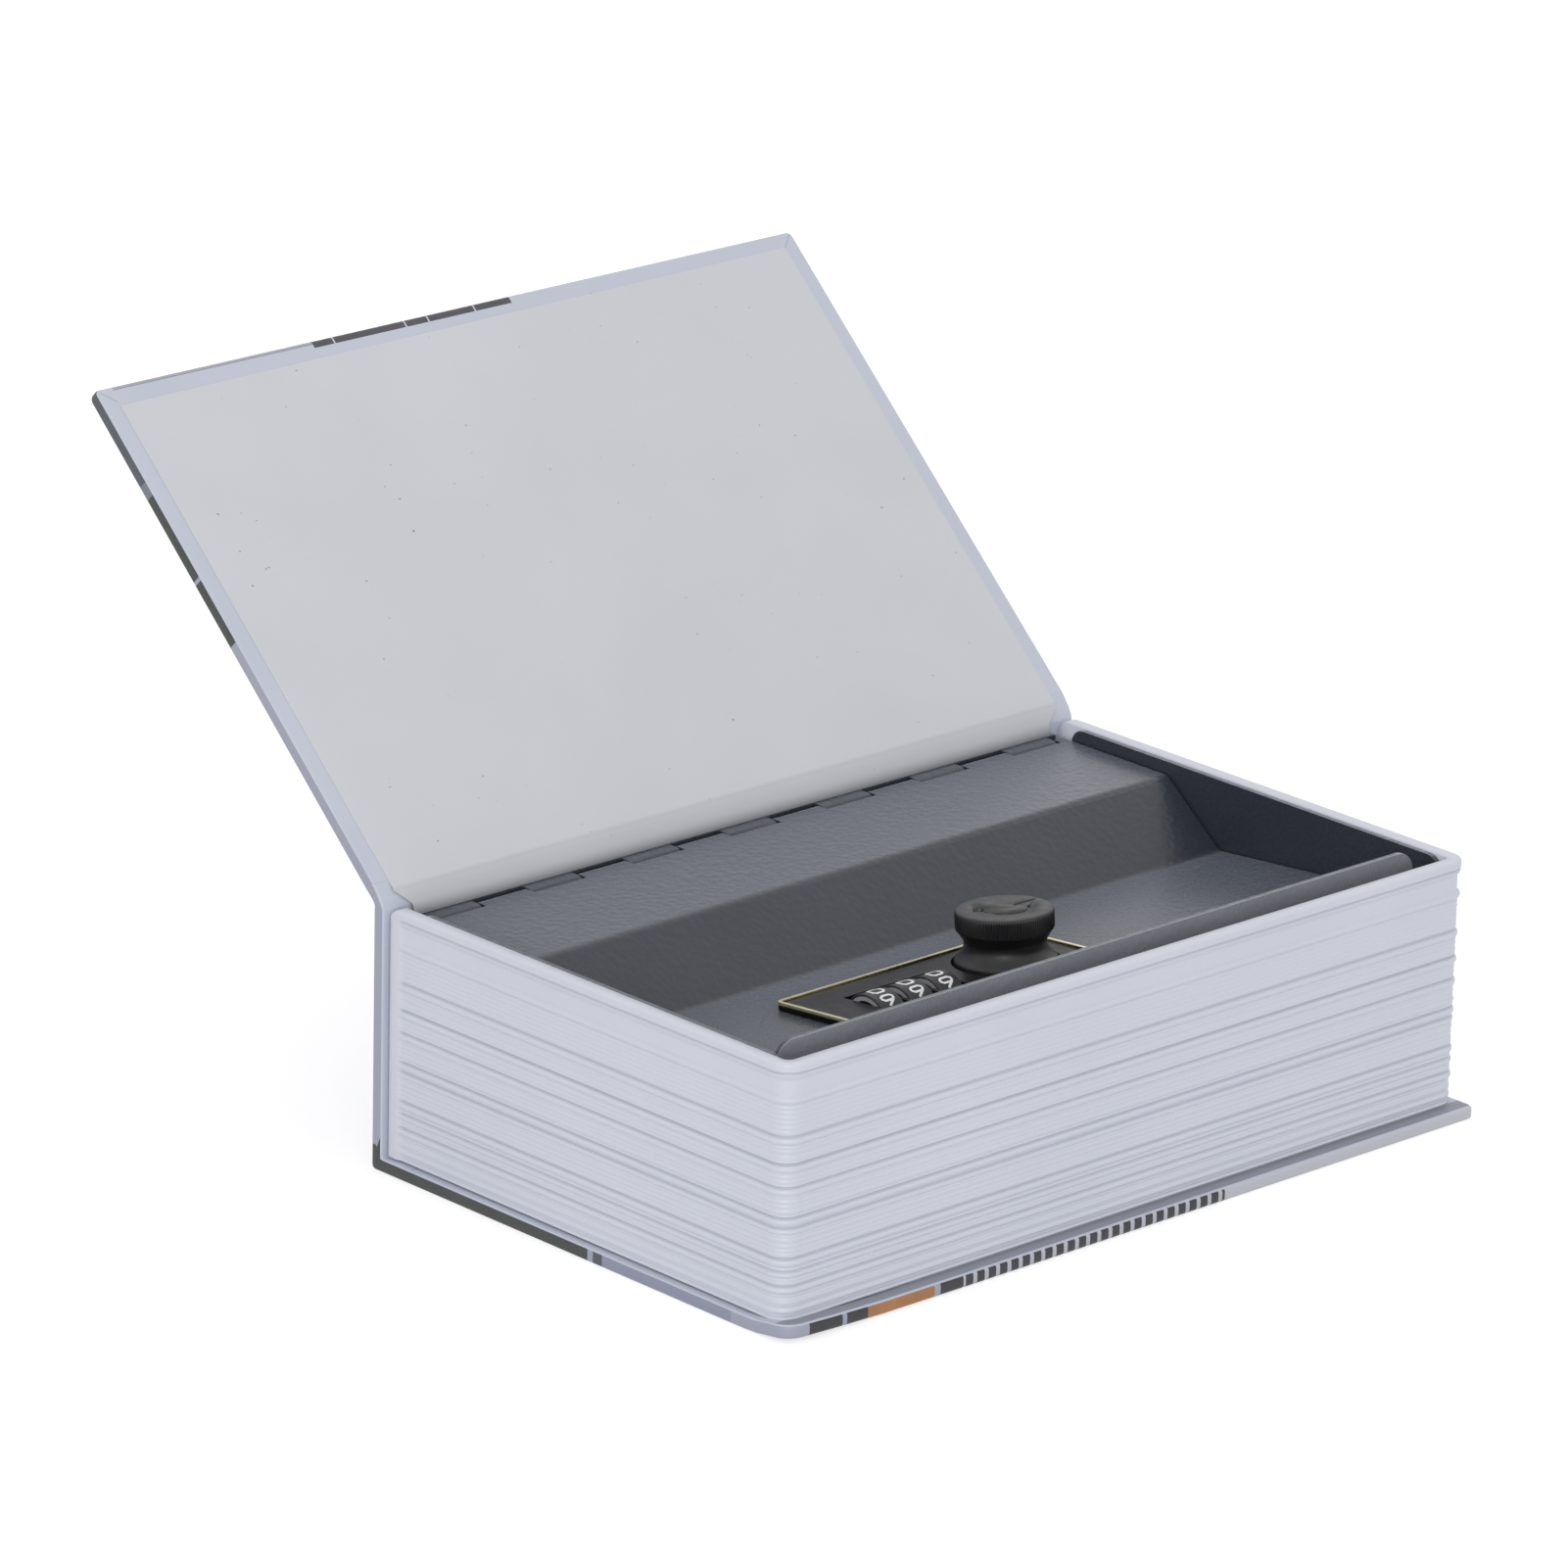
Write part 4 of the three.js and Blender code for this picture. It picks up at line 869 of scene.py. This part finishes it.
def turn_knob():
    """Knurled drum on a flared foot, with an engraved pointer bar and turn arc on top"""
    foot, drum, neck = 9.85, 9.4, 7.9
    low, high = KNOB_FOOT, KNOB_TOP
    flare_start, waist, drum_foot = 2.1, 5.0, 8.0
    ribs, steps = 112, 8
    profile = [(3.3, low, 0), (9.4, low, 0), (9.75, low + 0.12, 0), (foot, low + 0.5, 0),
               (foot, flare_start - 0.15, 0), (foot - 0.06, flare_start, 0)]
    for i in range(1, 11):
        t = i / 10
        profile.append((neck + (foot - 0.1 - neck) * (1 - t) ** 1.9,
                        flare_start + 0.05 + (waist - flare_start) * t, 0))
    profile += [(neck, waist + 0.7, 0), (neck + 0.1, waist + 0.95, 0),
                (drum - 0.35, drum_foot - 0.35, 0), (drum - 0.12, drum_foot - 0.1, 0.4),
                (drum, drum_foot + 0.15, 1), (drum, high - 0.75, 1),
                (drum - 0.05, high - 0.5, 0.7), (drum - 0.2, high - 0.22, 0.15),
                (drum - 0.45, high - 0.06, 0), (drum - 0.75, high, 0), (drum - 2.0, high, 0)]
    turn = np.linspace(0, 2 * math.pi, ribs * steps, endpoint=False)
    wave = 0.5 - 0.5 * np.cos(turn * ribs)
    rings = []
    for radius, height, knurl in profile:
        r = radius - KNURL_DEPTH * knurl * wave
        rings.append(np.stack([r * np.cos(turn), r * np.sin(turn), np.full_like(r, height)], 1))
    points, faces = loft(rings)
    piece = make_piece("knurled_knob", in_lock(points, LOCK_AT), faces, [BLACK], sharp=40)
    cutters = [ring_bar(4.6, 0.55, 200, 330), bar((2.6, 0), (7.6, 0), 0.62),
               bar((-4.32, 1.57), (-3.2, 2.6), 0.5), bar((-4.32, 1.57), (-5.5, 2.5), 0.5)]
    points, faces = gather(cutters)
    points[:, 2] += high
    cutter = make_piece("engraving", in_lock(points, LOCK_AT), faces, [BLACK])
    cut = piece.modifiers.new("engraved", "BOOLEAN")
    cut.object = cutter
    cut.operation = "DIFFERENCE"
    cut.solver = "MANIFOLD"
    graph = bpy.context.evaluated_depsgraph_get()
    done = bpy.data.meshes.new_from_object(piece.evaluated_get(graph))
    piece.modifiers.clear()
    piece.data = done
    bpy.data.objects.remove(cutter)
    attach(piece, "knob")
    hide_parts("turn_knob")


def bar(start, end, width):
    """Tool for a straight engraved stroke with round ends"""
    angle = math.degrees(math.atan2(end[1] - start[1], end[0] - start[0]))
    outline = arc(start, width / 2, angle + 90, angle + 270) + arc(end, width / 2, angle - 90,
                                                                   angle + 90)
    return slab(outline, ENGRAVED, ABOVE)


def ring_bar(radius, width, start, end):
    """Tool for an engraved arc"""
    outline = arc((0, 0), radius + width / 2, start, end, 24)
    outline += arc((0, 0), radius - width / 2, end, start, 24)
    return slab(outline, ENGRAVED, ABOVE)


# Strokes of the numerals, in a box 2 wide and 2 high about the middle
NUMERALS = {
    0: [[(-0.6, 1), (0.6, 1), (1, 0.6), (1, -0.6), (0.6, -1), (-0.6, -1), (-1, -0.6),
         (-1, 0.6), (-0.6, 1)]],
    1: [[(-0.35, 0.55), (0.15, 1), (0.15, -1)]],
    2: [[(-1, 0.6), (-0.6, 1), (0.6, 1), (1, 0.6), (1, 0.3), (-1, -1), (1, -1)]],
    3: [[(-1, 0.75), (-0.6, 1), (0.6, 1), (1, 0.7), (1, 0.3), (0.5, 0.05), (-0.2, 0.05)],
        [(0.5, 0.05), (1, -0.3), (1, -0.7), (0.6, -1), (-0.6, -1), (-1, -0.75)]],
    4: [[(0.5, -1), (0.5, 1), (-1, -0.35), (1, -0.35)]],
    5: [[(1, 1), (-0.85, 1), (-0.95, 0.15), (0.6, 0.15), (1, -0.2), (1, -0.65), (0.6, -1),
         (-0.6, -1), (-1, -0.75)]],
    6: [[(0.5, 1), (-0.75, 0.1), (-1, -0.3), (-1, -0.65), (-0.6, -1), (0.6, -1), (1, -0.65),
         (1, -0.25), (0.6, 0.1), (-0.75, 0.1)]],
    7: [[(-1, 1), (1, 1), (0.9, 0.7), (-0.3, -1)]],
    8: [[(-0.5, 0.05), (-0.9, 0.35), (-0.9, 0.7), (-0.5, 1), (0.5, 1), (0.9, 0.7), (0.9, 0.35),
         (0.5, 0.05), (-0.5, 0.05), (-1, -0.3), (-1, -0.65), (-0.6, -1), (0.6, -1),
         (1, -0.65), (1, -0.3), (0.5, 0.05)]],
    9: [[(0.75, -0.1), (-0.6, -0.1), (-1, 0.25), (-1, 0.65), (-0.6, 1), (0.6, 1), (1, 0.65),
         (1, 0.3), (0.75, -0.1), (-0.3, -1)]],
}
NUMERAL_WIDTH, NUMERAL_HEIGHT, NUMERAL_STROKE = 2.7, 2.4, 0.5
DIAL_RADIUS, DIAL_HALF = 5.9, 2.95
FRONT_LEAN = 124  # the nine faces the viewer, the nought is on top
DIAL_SIDES = 120
DIAL_BORE = 3.75
INK_LOW, INK_HIGH = 0.02, 0.07  # the ink's foot and face, from the dial's rim


def wheel_ring():
    """A dial's rim: digit band, chamfers and flat painted sides round a hub"""
    side = [(DIAL_RADIUS - 0.48, DIAL_HALF - 0.12), (DIAL_RADIUS - 0.3, DIAL_HALF - 0.02),
            (DIAL_RADIUS - 0.1, DIAL_HALF - 0.1), (DIAL_RADIUS, DIAL_HALF - 0.25)]
    half = [(DIAL_BORE, DIAL_HALF - 0.12), (4.6, DIAL_HALF - 0.12)] + side
    profile = half + [(r, -u) for r, u in half[::-1]]
    turn = np.linspace(0, 2 * math.pi, DIAL_SIDES + 1)[:-1]
    rings = []
    for a in turn:
        rings.append([(u, r * math.cos(a), r * math.sin(a)) for r, u in profile])
    rings.append(rings[0])
    points, faces = loft(rings, caps=False)
    count = len(profile)
    total = count * DIAL_SIDES
    return points[:total], [tuple(i % total for i in f) for f in faces], count


def dial(index, joint):
    """A black wheel with satin painted sides and ten white numerals"""
    points, faces, count = wheel_ring()
    bevels = {(1, 2), (count - 3, count - 2)}
    bare = [int((min(i % count for i in f), max(i % count for i in f)) in bevels)
            for f in faces]
    origin = np.array(joint["pos_m"]) / MM
    wheel = make_piece(f"dial_{index + 1}_wheel", in_lock(points, origin), faces,
                       [BLACK, DIAL_SIDE], bare, sharp=25)
    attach(wheel, f"dial_{index + 1}")
    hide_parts(f"dial_wheel_{index + 1}")
    parts = []
    for digit, strokes in NUMERALS.items():
        lean = math.radians(FRONT_LEAN + 36 * (9 - (digit or 10)))
        for stroke in strokes:
            for start, end in zip(stroke, stroke[1:]):
                parts.append(inked_stroke(start, end, lean))
    points, faces = gather(parts)
    ink = make_piece(f"dial_{index + 1}_numerals", in_lock(points, origin), faces, [NUMERAL],
                     sharp=60)
    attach(ink, f"dial_{index + 1}")


def inked_stroke(start, end, lean):
    """One printed stroke, wrapped round the wheel at angle lean from the back"""
    scale = (NUMERAL_WIDTH / 2, NUMERAL_HEIGHT / 2)
    a, b = [(p[0] * scale[0], p[1] * scale[1]) for p in (start, end)]
    angle = math.atan2(b[1] - a[1], b[0] - a[0])
    c, s = math.cos(angle), math.sin(angle)
    reach = math.hypot(b[0] - a[0], b[1] - a[1])
    r = NUMERAL_STROKE / 2
    rows = []
    for t, w in [(-r, 0.35), (-r * 0.7, 0.72), (-r * 0.35, 0.94), (0, 1), (reach * 0.33, 1),
                 (reach * 0.66, 1), (reach, 1), (reach + r * 0.35, 0.94),
                 (reach + r * 0.7, 0.72), (reach + r, 0.35)]:
        row = []
        for side, lift in ((1, INK_LOW), (1, INK_HIGH), (0, INK_HIGH), (-1, INK_HIGH),
                           (-1, INK_LOW), (0, INK_LOW)):
            x = a[0] + c * t - s * side * w * r
            y = a[1] + s * t + c * side * w * r
            phi = lean - y / DIAL_RADIUS
            row.append((x, (DIAL_RADIUS + lift) * math.cos(phi),
                        (DIAL_RADIUS + lift) * math.sin(phi)))
        rows.append(row)
    return loft(rows)


turn_knob()
for index, joint in enumerate(dial_joints):
    dial(index, joint)


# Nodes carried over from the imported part
TOUCHING = 1e-6  # points this near are one, in metres
TRAY_EASE, PLATE_EASE, SMALL_EASE = 0.25, 0.2, 0.12


def dress(node, material, ease=0.0, angle=40):
    """Gives a CAD node its finish, and eases its edges as the real press or mould leaves them"""
    piece = frame["nodes"][node]
    for slot in piece.material_slots:
        slot.material = material
    if ease:
        weld = piece.modifiers.new("weld", "WELD")
        weld.merge_threshold = TOUCHING
        bevel = piece.modifiers.new("eased_edges", "BEVEL")
        bevel.width = ease * MM
        bevel.segments = 3
        bevel.limit_method = "ANGLE"
        bevel.angle_limit = math.radians(angle)
        bevel.use_clamp_overlap = True


dress("steel_tray", STEEL, TRAY_EASE)
dress("lid_panel", LID_STEEL, TRAY_EASE, 30)
dress("lock_bezel", PLATE, PLATE_EASE)
dress("bezel_trim", GILT, SMALL_EASE)
dress("lock_body", BLACK, TRAY_EASE)
for name in ("hinge_pin", "dial_shaft", "detent_spring", "spindle", "cam_arm", "cam_screw",
             "cam_keeper"):
    dress(name, ZINC, SMALL_EASE)
for i in range(4):
    dress(f"tray_screw_{i + 1}", ZINC, PLATE_EASE)
    dress(f"lock_screw_{i + 1}", ZINC, SMALL_EASE)
for i in range(3):
    dress(f"code_sleeve_{i + 1}", BRASS, 0.1)
dress("code_change_lever", BRASS, SMALL_EASE)


# Floor and light
FLOOR_GLOW, FLOOR_REACH = 0.68, 4000
ROOM_LIGHT, ROOM_SEEN = 0.72, 1.0
WHITE = (1, 1, 1, 1)
AIM = (0, 0, 0.04)


def looked_at(tree):
    """1 where the camera, a gloss or glass looks straight at the surface, else 0"""
    rays = add(tree, "LightPath", {}).outputs
    seen = add(tree, "Math", {"operation": "MAXIMUM", 0: rays["Is Camera Ray"],
                              1: rays["Is Glossy Ray"]}).outputs[0]
    return add(tree, "Math", {"operation": "MAXIMUM", 0: seen,
                              1: rays["Is Transmission Ray"]}).outputs[0]


def floor():
    """Pale floor that shows white to the camera and in gloss, and keeps the shadow"""
    material = bpy.data.materials.new("pale_floor")
    material.use_nodes = True
    tree = material.node_tree
    tree.nodes.clear()
    matt = add(tree, "BsdfDiffuse", {"Color": linear("#E6E6E8")})
    shadow = add(tree, "BsdfDiffuse", {"Color": linear("#B9B9BC")})
    glow = add(tree, "Emission", {"Color": WHITE, "Strength": FLOOR_GLOW})
    shown = add(tree, "AddShader", {0: shadow.outputs[0], 1: glow.outputs[0]})
    mixed = add(tree, "MixShader", {0: looked_at(tree), 1: matt.outputs[0],
                                    2: shown.outputs[0]})
    add(tree, "OutputMaterial", {"Surface": mixed.outputs[0]})
    corners = [(-1, -1, 0), (1, -1, 0), (1, 1, 0), (-1, 1, 0)]
    corners = [(x * FLOOR_REACH, y * FLOOR_REACH, z) for x, y, z in corners]
    piece = make_piece("studio_floor", corners, [(0, 1, 2, 3)], [material])


def soft_box(name, at, aim, size, power):
    """A rectangular lamp that faces aim"""
    data = bpy.data.lights.new(name, "AREA")
    data.shape = "RECTANGLE"
    data.size, data.size_y = size
    data.energy = power
    lamp = bpy.data.objects.new(name, data)
    back = unit(np.array(at) - np.array(aim))
    side = unit(np.cross((0, 0, 1), back))
    turn = Matrix([list(row) for row in np.stack([side, np.cross(back, side), back], 1)])
    lamp.matrix_world = Matrix.Translation(at) @ turn.to_4x4()
    bpy.context.scene.collection.objects.link(lamp)


def room():
    """Even pale surroundings, white where the camera, gloss or glass looks straight at them"""
    world = bpy.data.worlds.new("pale_room")
    bpy.context.scene.world = world
    world.use_nodes = True
    tree = world.node_tree
    tree.nodes.clear()
    lit = add(tree, "Background", {"Color": WHITE, "Strength": ROOM_LIGHT})
    white = add(tree, "Background", {"Color": WHITE, "Strength": ROOM_SEEN})
    mixed = add(tree, "MixShader", {0: looked_at(tree), 1: lit.outputs[0],
                                    2: white.outputs[0]})
    add(tree, "OutputWorld", {"Surface": mixed.outputs[0]})


floor()
room()
soft_box("front_box", (-1.2, -1.2, 0.6), AIM, (1.1, 1.1), 9)
soft_box("top_box", (0.3, 0.5, 1.6), AIM, (1.0, 1.0), 3)

bpy.context.scene.view_settings.view_transform = "Standard"
